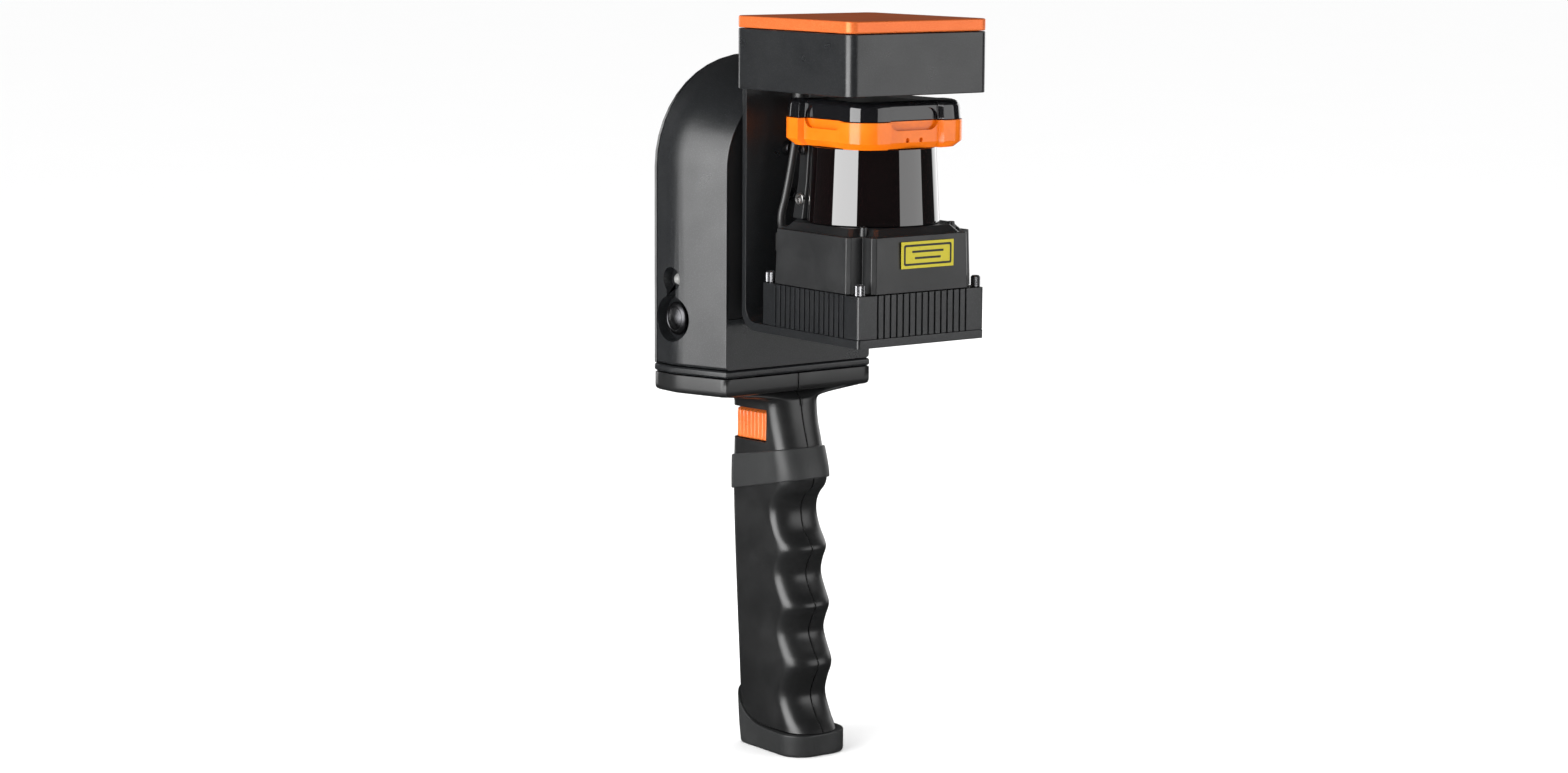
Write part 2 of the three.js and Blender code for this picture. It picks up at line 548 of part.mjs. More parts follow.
// ---- head box ----
function headBox() {
  const { halfX, y0, y1, z0, z1, lidTop, r, wall } = HEAD;
  const yc = (y0 + y1) / 2;
  const hy = (y1 - y0) / 2;
  const outer = prism(roundedRect(0, yc, halfX, hy, r, 4), z0, z1, "z", 0.4);
  const inner = prism(roundedRect(0, yc, halfX - wall, hy - wall, r - wall, 3), z0 + 2.5, z1 + 2);
  const cableHole = rod("z", CABLE_TOP[0], CABLE_TOP[1], z0 - 2, z0 + 5, 2.3, 2.3, 16);
  let body = outer.subtract(inner).subtract(cableHole);
  for (const x of [-22, 22])
    for (const y of [y0 + 13, y1 - 13]) body = body.add(rod("z", x, y, z0 + 2, z0 + 5.7, 3, 2.6, 14));
  add("head_box", body, BLACK_METAL);
  const rim = prism(roundedRect(0, yc, halfX - wall - GAP, hy - wall - GAP, 2, 2), z1 - 1.6, z1 + 1);
  const core = prism(roundedRect(0, yc, halfX - wall - 2, hy - wall - 2, 1.5, 2), z1 - 3, z1 + GAP);
  const lid = prism(roundedRect(0, yc, halfX, hy, r, 4), z1 + GAP, lidTop, "z", 0.7);
  add("head_lid", lid.add(rim.subtract(core)), ORANGE_METAL);
  add("sensor_board", box(-27, 27, y0 + 8, y1 - 8, z0 + 6, z0 + 7.6), BOARD);
  add("inertial_sensor", box(-12, 12, yc - 12, yc + 12, z0 + 7.9, z0 + 16), STEEL);
}

// ---- lidar ----
function finnedBase() {
  const { y, half, z0, baseTop } = LIDAR;
  const pitch = 3;
  const depth = 0.8;
  const width = 0.8;
  const face = (turn) => {
    const points = [];
    for (let i = -7; i <= 7; i++)
      for (const [du, dv] of [[-width, 0], [-width, depth], [width, depth], [width, 0]])
        points.push([i * pitch + du / 2, -half + dv]);
    points.push(...arc(half - 1.5, -half + 1.5, 1.5, -90, 0, 2).slice(0, -1));
    const c = Math.cos(turn);
    const s = Math.sin(turn);
    return points.map(([u, v]) => [u * c - v * s, u * s + v * c + y]);
  };
  const outline = [0, 1, 2, 3].flatMap((k) => face((k * Math.PI) / 2));
  let base = prism(outline, z0, baseTop);
  base = base.subtract(prism(roundedRect(0, y, 25, 25, 2, 2), z0 + 3, baseTop + 1));
  for (const [x, yy] of LIDAR_SCREWS) {
    base = base.subtract(rod("z", x, yy, 178, 195, 1.5, 1.5, 12));
    const foot = box(x - 2.6, x + 2.6, yy - 2.6, yy + 2.6, z0 + 1, z0 + 4);
    base = base.add(foot.intersect(prism(outline, z0, baseTop)));
  }
  for (const [x, yy] of SHELF_SCREWS) base = base.subtract(rod("z", x, yy, 170, 180, 1.7, 1.7, 12));
  return base;
}

const CORNERS = [[-1, -1], [1, -1], [1, 1], [-1, 1]];
const LIDAR_SCREWS = CORNERS.map(([u, v]) => [u * LIDAR.screw, LIDAR.y + v * LIDAR.screw]);

const square = (half, r, z, steps = 2) =>
  roundedRect(0, LIDAR.y, half, half, r, steps).map(([x, y]) => [x, y, z]);

// Plan of the lidar's body, shrunk inwards by inset: a square with a step cut out of each corner.
function bodyPlan(inset, z) {
  const half = LIDAR.bodyHalf - inset;
  const notch = LIDAR.notch - inset;
  const c = LIDAR.notchChamfer;
  const corner = [[half, notch - c], [half - c, notch], [notch, notch], [notch, half - c], [notch - c, half]];
  const quarters = [[1, 0], [0, 1], [-1, 0], [0, -1]];
  return quarters.flatMap(([co, si]) => corner.map(([u, v]) => [u * co - v * si, u * si + v * co + LIDAR.y, z]));
}

function lidarBody() {
  const { y, baseTop, shoulder, bodyTop, knob, knobR } = LIDAR;
  const z0 = baseTop + GAP;
  let body = loft([bodyPlan(-0.3, z0), bodyPlan(0.2, shoulder), bodyPlan(2.2, shoulder), bodyPlan(4.6, bodyTop)]);
  const inner = loft([bodyPlan(2.2, z0 - 1), bodyPlan(2.2, shoulder - 2.2)]);
  for (const x of [-knob, knob])
    body = body.add(rod("z", x, y - knob, shoulder - 0.6, bodyTop + 0.7, knobR, knobR - 0.5, 16));
  return body.subtract(inner).subtract(rod("z", 0, y, 200, 220, 22, 22, 32));
}

// Plan of the cap: a rounded square with a wide shallow recess in each side.
function capPlan(half, z) {
  const { capR, recessHalf, recessDepth } = LIDAR;
  const points = [];
  for (let k = 0; k < 4; k++) {
    const turn = (k * Math.PI) / 2;
    const quarter = [
      ...arc(half - capR, half - capR, capR, 2, 88, 6),
      [recessHalf, half],
      [recessHalf - 1, half - recessDepth],
      [-recessHalf + 1, half - recessDepth],
      [-recessHalf, half],
    ];
    for (const [u, v] of quarter)
      points.push([u * Math.cos(turn) - v * Math.sin(turn), u * Math.sin(turn) + v * Math.cos(turn) + LIDAR.y, z]);
  }
  return points;
}

// A slot with round ends, cut deeper into the middle of each recess, across the joint of band and top.
function capSlots() {
  const { y, capHalf, recessDepth, slotHalf, slotZ0, slotZ1, slotDepth } = LIDAR;
  const r = (slotZ1 - slotZ0) / 2;
  const outline = [
    ...arc(slotHalf - r, slotZ0 + r, r, -90, 90, 6),
    ...arc(-slotHalf + r, slotZ0 + r, r, 90, 270, 6),
  ];
  const floor = capHalf - recessDepth - slotDepth;
  const front = prism(outline, y - 40, y - floor, "y");
  const back = prism(outline, y + floor, y + 40, "y");
  const turned = outline.map(([u, z]) => [u + y, z]);
  const left = prism(turned, -40, -floor, "x");
  const right = prism(turned, floor, 40, "x");
  return front.add(back).add(left).add(right);
}

function lidar() {
  const { y, baseTop, bodyTop, windowTop, bandTop, capTop } = LIDAR;
  const { windowLowR, windowHighR, capHalf, bodyHalf, screwR } = LIDAR;
  add("lidar_base", finnedBase(), BLACK_METAL);
  add("lidar_body", lidarBody(), BLACK_PLASTIC);
  const z0 = bodyTop + GAP;
  const z1 = windowTop - GAP;
  const sector = box(-40, 40, y + 17, y + 40, z0 - 1, windowTop + 1);
  const window = rod("z", 0, y, z0, z1, windowLowR, windowHighR, 48)
    .subtract(rod("z", 0, y, z0 - 1, z1 + 1, windowLowR - 1.5, windowHighR - 1.5, 48))
    .subtract(sector);
  add("lidar_window", window, GLOSS_BLACK);
  const spine = loft([
    spinePlan(20.5, 25.4, z0), spinePlan(18.5, 24.6, z0 + 14), spinePlan(17.5, 24.4, windowTop - GAP),
  ]).subtract(rod("z", 0, y, z0 - 1, windowTop + 1, 18.5, 18.5, 32));
  add("lidar_spine", spine, BLACK_PLASTIC);
  const hollow = rod("z", 0, y, windowTop - 1, windowTop + 4, 19, 19, 32);
  const band = loft([
    capPlan(capHalf - 2.2, windowTop), capPlan(capHalf, windowTop + 2.4), capPlan(capHalf, bandTop),
  ]).subtract(hollow);
  let bored = band.subtract(capSlots());
  for (const x of [-3.2, 3.2]) bored = bored.subtract(rod("y", x, windowTop + 3.2, y - 30, y - 22, 0.9, 0.9, 10));
  add("lidar_cap_band", bored, ORANGE_PLASTIC);
  const top = loft([
    capPlan(capHalf - 0.3, bandTop + GAP), capPlan(capHalf - 0.7, capTop - 1.6), capPlan(capHalf - 2.6, capTop),
  ]).subtract(capSlots());
  add("lidar_cap_top", top, GLOSS_BLACK);
  const motor = rod("z", 0, y, 176.4, bodyTop - 10, 13, 13, 28).subtract(rod("z", 0, y, 150, 220, 2.4, 2.4, 16));
  add("lidar_motor", motor, STEEL);
  const mirror = rod("z", 0, y, z0 + 1, z0 + 12, 16, 16, 32)
    .add(prism([[y - 9, z0 + 11.5], [y + 9, z0 + 11.5], [y + 9, z0 + 25], [y + 7, z0 + 25]], -10, 10, "x"))
    .add(rod("z", 0, y, baseTop - 10, z0 + 2, 2.2, 2.2, 16));
  add("lidar_rotor", mirror, MIRROR);
  const board = box(-22, 22, y - 22, y + 22, 176.4, 178).subtract(rod("z", 0, y, 170, 180, 14, 14, 24));
  add("lidar_board", board, BOARD);
  LIDAR_SCREWS.forEach(([x, yy], i) => {
    const screw = socketScrew("z", x, yy, 179, baseTop + 0.2, baseTop + 4.4, screwR, 1.3);
    add("lidar_screw_" + (i + 1), screw, STEEL);
  });
  add("label_plate", box(-10.3, 14.6, y - bodyHalf - 0.8, y - bodyHalf - 0.4, 198.2, 208.2), YELLOW);
}

const spinePlan = (half, depth, z) =>
  [[-half, 17.4], [half, 17.4], [half - 1.5, depth], [-half + 1.5, depth]].map(([x, v]) => [x, LIDAR.y + v, z]);

// ---- lidar cable ----
const CABLE_TOP = [-11.5, -17];

function cable() {
  const points = [
    [-19.2, -15.9, 208], [-20.2, -16.3, 213], [-18.4, -16.6, 221], [-16.3, -16.6, 230], [-14.3, -16.6, 240],
    [-12.4, -16.8, 250], [...CABLE_TOP, 258], [...CABLE_TOP, 266],
  ];
  const path = new THREE.CatmullRomCurve3(points.map((p) => new THREE.Vector3(...p)));
  const section = new THREE.Shape(arc(0, 0, 1.5, 0, 324, 9).map(([u, v]) => new THREE.Vector2(u, v)));
  const g = new THREE.ExtrudeGeometry(section, { steps: 24, bevelEnabled: false, extrudePath: path });
  add("lidar_cable", toSolid(g), BLACK_PLASTIC);
  const boot = box(-21.4, -16.4, LIDAR.y + 30.2, -14, 200, 207.3);
  add("cable_boot", boot, BLACK_PLASTIC);
  const gland = rod("z", ...CABLE_TOP, 257.6, HEAD.z0 - GAP, 3.4, 3.4, 20)
    .subtract(rod("z", ...CABLE_TOP, 250, 270, 1.9, 1.9, 16));
  add("cable_gland", gland, BLACK_PLASTIC);
}

gripHalves();
gripCollar();
endCap();
battery();
thumbButton();
adapterPlate();
housing();
powerControls();
bracket();
drive();
bracketScrews();
headBox();
lidar();
cable();

export default root;
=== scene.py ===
"""The looks of a hand-held laser scanner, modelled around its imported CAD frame.

Lengths are in millimetres until they reach Blender, which works in metres: -Y is the front, where the
spinning lidar looks out, and +Z runs up the grip to the sensor box.
"""

import json
from bisect import bisect_right
from math import cos, hypot, pi, radians, sin

import bmesh
import bpy
from mathutils import Matrix, Vector


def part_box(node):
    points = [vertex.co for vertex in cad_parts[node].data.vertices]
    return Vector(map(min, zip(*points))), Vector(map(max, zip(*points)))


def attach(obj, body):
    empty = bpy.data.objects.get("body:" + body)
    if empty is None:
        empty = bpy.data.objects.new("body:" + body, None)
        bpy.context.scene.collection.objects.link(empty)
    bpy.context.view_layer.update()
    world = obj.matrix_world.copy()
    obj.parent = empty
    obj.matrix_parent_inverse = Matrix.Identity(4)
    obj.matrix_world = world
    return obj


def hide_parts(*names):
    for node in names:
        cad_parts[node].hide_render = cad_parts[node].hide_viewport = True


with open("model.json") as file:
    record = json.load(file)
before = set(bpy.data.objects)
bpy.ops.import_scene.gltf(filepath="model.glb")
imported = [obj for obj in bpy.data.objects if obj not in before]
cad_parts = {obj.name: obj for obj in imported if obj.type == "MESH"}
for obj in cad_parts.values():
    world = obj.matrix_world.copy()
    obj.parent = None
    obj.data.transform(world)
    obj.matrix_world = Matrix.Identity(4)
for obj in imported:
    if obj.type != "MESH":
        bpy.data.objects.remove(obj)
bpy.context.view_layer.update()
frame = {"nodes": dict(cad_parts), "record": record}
MM = 0.001
BODY_OF = {node: body for body, nodes in frame["record"]["behaviour"]["bodies"].items() for node in nodes}

# ---- Sizes read from the frame, in millimetres ----


def node_box(node):
    low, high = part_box(node)
    return low / MM, high / MM


HOUSING_LOW, HOUSING_HIGH = node_box("housing_shell")
COVER_BACK = node_box("back_cover")[1].y
BOX_LOW, BOX_HIGH = node_box("head_box")
LID_TOP = node_box("head_lid")[1].z
BRACKET_LOW, BRACKET_HIGH = node_box("bracket")
BASE_LOW, BASE_HIGH = node_box("lidar_base")
CAP_LOW, CAP_HIGH = node_box("end_cap")
BAND_LOW, BAND_HIGH = node_box("lidar_cap_band")
TOP_LOW, TOP_HIGH = node_box("lidar_cap_top")
LIDAR_Y = (BASE_LOW.y + BASE_HIGH.y) / 2
DRIVE_Z = 230  # height of the line that the head turns about
LID_GAP = 0.3  # between the box and its lid

# ---- Mesh helpers ----

SAME_POINT = 1e-7  # metres
FLAT_ANGLE = 0.6  # degrees between faces that count as one flat face


def mesh_object(name, vertices, faces):
    """A piece from points in millimetres."""
    mesh = bpy.data.meshes.new(name)
    mesh.from_pydata([tuple(c * MM for c in v) for v in vertices], [], faces)
    mesh.update()
    piece = bpy.data.objects.new(name, mesh)
    bpy.context.scene.collection.objects.link(piece)
    return piece


def loft(name, rings, capped=True):
    """Rings of points, each anticlockwise seen from the last ring's side, skinned into a closed piece."""
    count = len(rings[0])
    vertices = [p for ring in rings for p in ring]
    faces = []
    for i in range(len(rings) - 1):
        for j in range(count):
            a = i * count + j
            b = i * count + (j + 1) % count
            faces.append((a, b, b + count, a + count))
    if capped:
        last = (len(rings) - 1) * count
        faces.append(tuple(reversed(range(count))))
        faces.append(tuple(range(last, last + count)))
    return mesh_object(name, vertices, faces)


def prism(name, outline, low, high, axis="z"):
    """An outline of (u, v) points swept from low to high along an axis.

    u and v are the other two axes, in X, Y, Z order.
    """
    place = {
        "x": lambda u, v, w: (w, u, v),
        "y": lambda u, v, w: (u, w, v),
        "z": lambda u, v, w: (u, v, w),
    }[axis]
    if axis == "y":
        low, high = high, low
    return loft(name, [[place(u, v, w) for u, v in outline] for w in (low, high)])


AXIS_TURNS = {
    "x": Matrix(((0, 0, 1), (1, 0, 0), (0, 1, 0))),
    "y": Matrix(((1, 0, 0), (0, 0, 1), (0, -1, 0))),
    "z": Matrix.Identity(3),
}
TIP_RADIUS = 0.001  # stands for a point on the axis


def lathe(name, profile, centre, axis="z", sides=64):
    """A profile of (radius, height) points turned about an axis through centre.

    The profile starts and ends on that axis.
    """
    rings = []
    for radius, height in profile:
        radius = max(radius, TIP_RADIUS)
        ring = []
        for i in range(sides):
            angle = 2 * pi * i / sides
            point = Vector((radius * cos(angle), radius * sin(angle), height))
            ring.append(tuple(AXIS_TURNS[axis] @ point + Vector(centre)))
        rings.append(ring)
    return loft(name, rings)


def rod(radius, low, high):
    """The profile of a plain cylinder, for lathe."""
    return [(0, low), (radius, low), (radius, high), (0, high)]


def arc(u, v, radius, start, end, steps):
    angles = [radians(start + (end - start) * i / steps) for i in range(steps + 1)]
    return [(u + radius * cos(a), v + radius * sin(a)) for a in angles]


def rounded_rect(u, v, half_u, half_v, radius, steps=8):
    corners = ((1, 1, 0), (-1, 1, 90), (-1, -1, 180), (1, -1, 270))
    outline = []
    for side_u, side_v, start in corners:
        centre = (u + side_u * (half_u - radius), v + side_v * (half_v - radius))
        outline += arc(*centre, radius, start, start + 90, steps)
    return outline


def apply_modifiers(piece):
    graph = bpy.context.evaluated_depsgraph_get()
    mesh = bpy.data.meshes.new_from_object(piece.evaluated_get(graph))
    piece.modifiers.clear()
    old = piece.data
    piece.data = mesh
    bpy.data.meshes.remove(old)
    return piece


def combine(piece, tool, operation="DIFFERENCE"):
    """Cuts the tool from the piece, or joins it on, and throws the tool away."""
    cut = piece.modifiers.new("cut", "BOOLEAN")
    cut.operation = operation
    cut.solver = "EXACT"
    cut.object = tool
    apply_modifiers(piece)
    bpy.data.objects.remove(tool)
    return piece


def soften(piece, width=0.3, segments=3, angle=28):
    """Rounds every edge sharper than angle and shades the rest smooth."""
    dissolve(piece)
    bevel = piece.modifiers.new("edges", "BEVEL")
    bevel.width = width * MM
    bevel.segments = segments
    bevel.limit_method = "ANGLE"
    bevel.angle_limit = radians(angle)
    bevel.use_clamp_overlap = True
    bevel.miter_outer = "MITER_ARC"
    bevel.harden_normals = False
    apply_modifiers(piece)
    smooth(piece)
    return piece


def dissolve(piece):
    """Merges the triangles of each flat face."""
    mesh = bmesh.new()
    mesh.from_mesh(piece.data)
    bmesh.ops.remove_doubles(mesh, verts=mesh.verts, dist=SAME_POINT)
    bmesh.ops.dissolve_limit(
        mesh,
        angle_limit=radians(FLAT_ANGLE),
        verts=mesh.verts,
        edges=mesh.edges,
        use_dissolve_boundaries=False,
    )
    mesh.to_mesh(piece.data)
    mesh.free()


def smooth(piece, angle=40):
    piece.data.shade_smooth()
    piece.data.set_sharp_from_angle(angle=radians(angle))
    weighted = piece.modifiers.new("normals", "WEIGHTED_NORMAL")
    weighted.keep_sharp = True
    apply_modifiers(piece)
    return piece


def refined(node, width, segments=3):
    """A finer copy of a CAD node: flat faces merged, edges rounded."""
    mesh = frame["nodes"][node].data.copy()
    mesh.name = node + "_shape"
    mesh.materials.clear()
    piece = bpy.data.objects.new(node + "_shape", mesh)
    bpy.context.scene.collection.objects.link(piece)
    return soften(piece, width, segments)


def finish(piece, material, nodes=(), body=""):
    """Paints a piece, seats it on its body and lets it stand for its CAD nodes."""
    piece.data.materials.clear()
    piece.data.materials.append(material)
    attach(piece, body or BODY_OF[nodes[0]])
    if nodes:
        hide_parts(*nodes)
    return piece


# ---- Materials ----

MIX_FIRST, MIX_SECOND, MIX_RESULT = 6, 7, 2  # the Mix node's sockets for colours


class Finish:
    """A Principled material with helpers that wire procedural detail in object space."""

    def __init__(self, name, color, roughness, metallic=0.0, **sockets):
        self.material = bpy.data.materials.new(name)
        self.material.use_nodes = True
        self.tree = self.material.node_tree
        self.shader = self.tree.nodes["Principled BSDF"]
        self.shader.inputs["Base Color"].default_value = (*color, 1)
        self.shader.inputs["Roughness"].default_value = roughness
        self.shader.inputs["Metallic"].default_value = metallic
        for socket, value in sockets.items():
            self.shader.inputs[socket.replace("_", " ")].default_value = value
        self.color = color
        self.roughness = roughness
        self.place = self.tree.nodes.new("ShaderNodeTexCoord").outputs["Object"]

    def link(self, out, into):
        self.tree.links.new(out, into)

    def noise(self, scale, detail=3, rough=0.55, stretch=None):
        """Noise with grains about 1 / scale metres across; stretch squeezes it along the three axes."""
        node = self.tree.nodes.new("ShaderNodeTexNoise")
        node.inputs["Scale"].default_value = scale
        node.inputs["Detail"].default_value = detail
        node.inputs["Roughness"].default_value = rough
        place = self.place
        if stretch:
            mapping = self.tree.nodes.new("ShaderNodeMapping")
            mapping.inputs["Scale"].default_value = stretch
            self.link(place, mapping.inputs["Vector"])
            place = mapping.outputs["Vector"]
        self.link(place, node.inputs["Vector"])
        return node.outputs["Fac"]

    def remap(self, value, low, high, out_low, out_high):
        """Value stretched so that low to high becomes out_low to out_high."""
        node = self.tree.nodes.new("ShaderNodeMapRange")
        limits = {"From Min": low, "From Max": high, "To Min": out_low, "To Max": out_high}
        for socket, number in limits.items():
            node.inputs[socket].default_value = number
        self.link(value, node.inputs["Value"])
        return node.outputs["Result"]

    def mix(self, factor, first, second):
        """Mixes two colours; either may be a socket."""
        node = self.tree.nodes.new("ShaderNodeMix")
        node.data_type = "RGBA"
        self.link(factor, node.inputs["Factor"])
        for socket, color in ((node.inputs[MIX_FIRST], first), (node.inputs[MIX_SECOND], second)):
            if isinstance(color, (tuple, list)):
                socket.default_value = (*color, 1)
            else:
                self.link(color, socket)
        return node.outputs[MIX_RESULT]

    def tint(self, value, low, high, color):
        """Turns the base colour towards color where value runs from low to high."""
        source = self.shader.inputs["Base Color"]
        base = source.links[0].from_socket if source.is_linked else self.color
        self.link(self.mix(self.remap(value, low, high, 0, 1), base, color), source)

    def vary_roughness(self, value, spread, low=0.3, high=0.7):
        """Lets the roughness drift by spread either way as value runs from low to high."""
        rough = self.remap(value, low, high, self.roughness - spread, self.roughness + spread)
        self.link(rough, self.shader.inputs["Roughness"])

    def bump(self, value, depth, strength):
        """Raises the surface by up to depth millimetres."""
        node = self.tree.nodes.new("ShaderNodeBump")
        node.inputs["Distance"].default_value = depth * MM
        node.inputs["Strength"].default_value = strength
        self.link(value, node.inputs["Height"])
        if self.shader.inputs["Normal"].is_linked:
            self.link(self.shader.inputs["Normal"].links[0].from_socket, node.inputs["Normal"])
        self.link(node.outputs["Normal"], self.shader.inputs["Normal"])


def anodised_black():
    """Bead-blasted, black anodised aluminium with a fine sparkle."""
    look = Finish("anodised_black", (0.009, 0.0098, 0.0108), 0.31, 0.0, Specular_IOR_Level=0.8)
    grain = look.noise(2600, 2)
    look.tint(grain, 0.5, 0.8, (0.04, 0.043, 0.047))
    look.vary_roughness(look.noise(60, 4), 0.04)
    look.bump(grain, 0.03, 0.6)
    return look.material


def anodised_orange():
    look = Finish("anodised_orange", (0.8, 0.15, 0.028), 0.36, 0.35)
    grain = look.noise(2600, 2)
    look.tint(grain, 0.45, 0.8, (0.9, 0.26, 0.07))
    look.vary_roughness(look.noise(70, 4), 0.05)
    look.bump(grain, 0.015, 0.4)
    return look.material


def satin_plastic(name, color, roughness, grain_scale=1500, depth=0.02, **sockets):
    """Moulded plastic with a fine sparked texture and faint handling marks."""
    look = Finish(name, color, roughness, 0.0, **sockets)
    grain = look.noise(grain_scale, 3)
    worn = look.noise(45, 5, 0.6)
    look.tint(worn, 0.45, 0.75, tuple(min(1, c * 1.25 + 0.002) for c in color))
    look.vary_roughness(worn, 0.06)
    look.bump(grain, depth, 0.5)
    return look.material


def gloss_plastic(name, color, roughness=0.08, ior=1.5):
    """Polished plastic with a faint film of dust."""
    look = Finish(name, color, roughness, 0.0, Coat_Weight=0.8, Coat_Roughness=0.02, IOR=ior)
    dust = look.noise(400, 6, 0.7)
    look.vary_roughness(dust, roughness * 0.4, 0.4, 0.8)
    look.bump(look.noise(90, 2), 0.004, 0.2)
    return look.material


def plated_steel(name="plated_steel", color=(0.62, 0.61, 0.6), roughness=0.28):
    look = Finish(name, color, roughness, 1.0)
    scratches = look.noise(900, 4, 0.7, (1, 1, 0.05))
    look.tint(scratches, 0.5, 0.8, tuple(c * 0.6 for c in color))
    look.vary_roughness(look.noise(500, 4), 0.1)
    look.bump(scratches, 0.01, 0.4)
    return look.material


def printed(name, color, roughness=0.45):
    look = Finish(name, color, roughness)
    look.tint(look.noise(700, 4), 0.55, 0.85, tuple(c * 0.8 for c in color))
    look.vary_roughness(look.noise(200, 3), 0.08)
    look.bump(look.noise(1800, 2), 0.008, 0.3)
    return look.material


METAL = anodised_black()
ORANGE_METAL = anodised_orange()
GRIP_BLACK = satin_plastic("grip_black", (0.009, 0.0093, 0.0096), 0.35, 1400, 0.008, Specular_IOR_Level=0.8)
COLLAR_GREY = satin_plastic("collar_grey", (0.026, 0.0268, 0.0272), 0.42, 1600, 0.03)
BODY_BLACK = satin_plastic("body_black", (0.009, 0.0096, 0.0104), 0.42, 900, 0.05, Specular_IOR_Level=0.9)
CABLE_BLACK = satin_plastic("cable_black", (0.018, 0.018, 0.018), 0.42, 1200, 0.02, Specular_IOR_Level=0.9)
PANEL_BLACK = satin_plastic("panel_black", (0.008, 0.0082, 0.009), 0.55, 1500, 0.03)
BUTTON_ORANGE = satin_plastic(
    "button_orange", (0.82, 0.18, 0.035), 0.28, 1500, 0.008, Coat_Weight=0.5, Coat_Roughness=0.12
)
BAND_ORANGE = satin_plastic("band_orange", (0.8, 0.16, 0.004), 0.18, 1500, 0.006)
CAP_GLOSS = gloss_plastic("cap_gloss", (0.006, 0.006, 0.007))
WINDOW = gloss_plastic("window_smoked", (0.0025, 0.0008, 0.0009), 0.02, 1.8)
STEEL = plated_steel()
DARK_STEEL = plated_steel("dark_steel", (0.09, 0.09, 0.095), 0.35)
PORT_METAL = plated_steel("port_metal", (0.22, 0.22, 0.23), 0.35)
GREY_STEEL = plated_steel("grey_steel", (0.3, 0.3, 0.31), 0.3)
BARE_METAL = plated_steel("bare_metal", (0.5, 0.5, 0.5), 0.4)
MIRROR = plated_steel("mirror_metal", (0.85, 0.86, 0.87), 0.08)
YELLOW = printed("label_yellow", (0.54, 0.46, 0.012))
INK = printed("label_ink", (0.02, 0.02, 0.018))
BOARD = printed("board_green", (0.01, 0.11, 0.04), 0.35)
WRAP = printed("battery_blue", (0.02, 0.08, 0.32), 0.35)
LENS = satin_plastic("led_lens", (0.24, 0.24, 0.235), 0.2, 1500, 0.004)

# ---- Grip ----

# The housing's plan tapers from its straight sides to a narrower front.
BEVEL_END = 22.8  # the y where the straight sides end
FRONT_HALF = 35  # half the width of the front

# Front of the grip on the centre plane as (height, y): finger grooves and ridges.
FRONT = (
    (0, -19.5), (9.4, -18.6), (14, -14.6), (22.5, -10.3), (29, -12.2), (35.5, -15.5), (41, -12.2),
    (47.5, -8.9), (53, -10.4), (58.5, -13.3), (64, -9.8), (70.2, -6.9), (76, -8.2), (81.3, -11),
    (88, -5.4), (95.5, -3.4), (101, -5), (105.8, -10.4), (110.5, -11.4), (122.5, -7.2),
    (131.6, -4.3), (139.3, -2.9), (150, -2.8),
)
# Back of the grip as (height, y), and half its width as (height, x).
BACK = ((0, 19), (10, 20.5), (35, 22.3), (81, 25.4), (105, 26.4), (131, 26), (150, 26))
WIDTH = ((0, 13.5), (105, 13.6), (125, 13.5), (150, 14.2))
# Joint of the end cap and the grip as (y, height): it sweeps up the back.
CAP_SEAM = (
    (-40, 8.6), (-8, 8.7), (2, 9), (7.5, 9.8), (11.7, 11.5), (14.9, 13.6), (17.5, 16.3), (19.5, 18.8),
    (21.5, 21.5), (24, 24.5),
)
CORNER_R = 5  # at the back of the grip and of its end cap
# Where the rounded nose meets the flat side, as (height, y): it follows the finger grooves more gently.
NOSE_END = (
    (0, -8), (12, -6), (22.5, -2.5), (35.5, -5), (47.5, -1.2), (58.5, -3.4), (70.2, 0.8), (81.3, -1.2),
    (95.5, 4), (108, -0.8), (122.5, 1.6), (131.6, 4.2), (150, 5.4),
)
SQUARENESS = 0.9  # 1 makes the nose elliptical, and less makes it fuller
TAPER = 2.1  # how much narrower each side is at the nose than at the back
FLARE_POWER = 1.4  # how early each side reaches its full width
SIDE_STEPS = 8  # steps along each flat side
# The neck spreads into the flange as (height, share of the way out).
SKIRT = ((137, 0), (138.8, 0.02), (139.9, 0.1), (140.7, 0.35), (142.4, 1))
NECK_END = 140  # the neck keeps its section above this height
FLANGE_TOP = 149.8
CAP_SCREWS = ((-10.6, 13.4), (10.6, 13.4))
CAP_GAP = 0.3  # between the end cap and the grip
PARTING = 0.15  # half the gap between the grip's two halves


def curve(table, at):
    """A smooth curve through (position, value) pairs."""
    i = min(max(bisect_right([p for p, _ in table], at), 1), len(table) - 1)
    before, start, end, after = (table[min(max(k, 0), len(table) - 1)] for k in (i - 2, i - 1, i, i + 1))
    span = end[0] - start[0]
    slope_in = (end[1] - before[1]) / (end[0] - before[0]) * span
    slope_out = (after[1] - start[1]) / (after[0] - start[0]) * span
    t = min(max((at - start[0]) / span, 0), 1)
    return (
        (2 * t**3 - 3 * t**2 + 1) * start[1]
        + (t**3 - 2 * t**2 + t) * slope_in
        + (3 * t**2 - 2 * t**3) * end[1]
        + (t**3 - t**2) * slope_out
    )


def grip_outline(z, inset=0.0, steps=14):
    """The right half of the grip's section at height z, from the nose round to the back."""
    front = curve(FRONT, z) + inset
    back = curve(BACK, z) - inset
    half = curve(WIDTH, z) - inset
    radius = CORNER_R - inset
    nose = curve(NOSE_END, z) - front
    points = []
    for i in range(steps + 1):
        t = pi / 2 * i / steps
        x = (half - TAPER) * sin(t) ** SQUARENESS
        y = front + nose * (1 - max(cos(t), 0) ** SQUARENESS)
        points.append((x, y))
    for i in range(1, SIDE_STEPS):
        t = i / SIDE_STEPS
        flare = half - TAPER * (1 - t) ** FLARE_POWER
        points.append((flare, front + nose + (back - radius - front - nose) * t))
    points += arc(half - radius, back - radius, radius, 0, 90, steps)
    points += [((half - radius) * (1 - i / 4), back) for i in range(1, 5)]
    return points


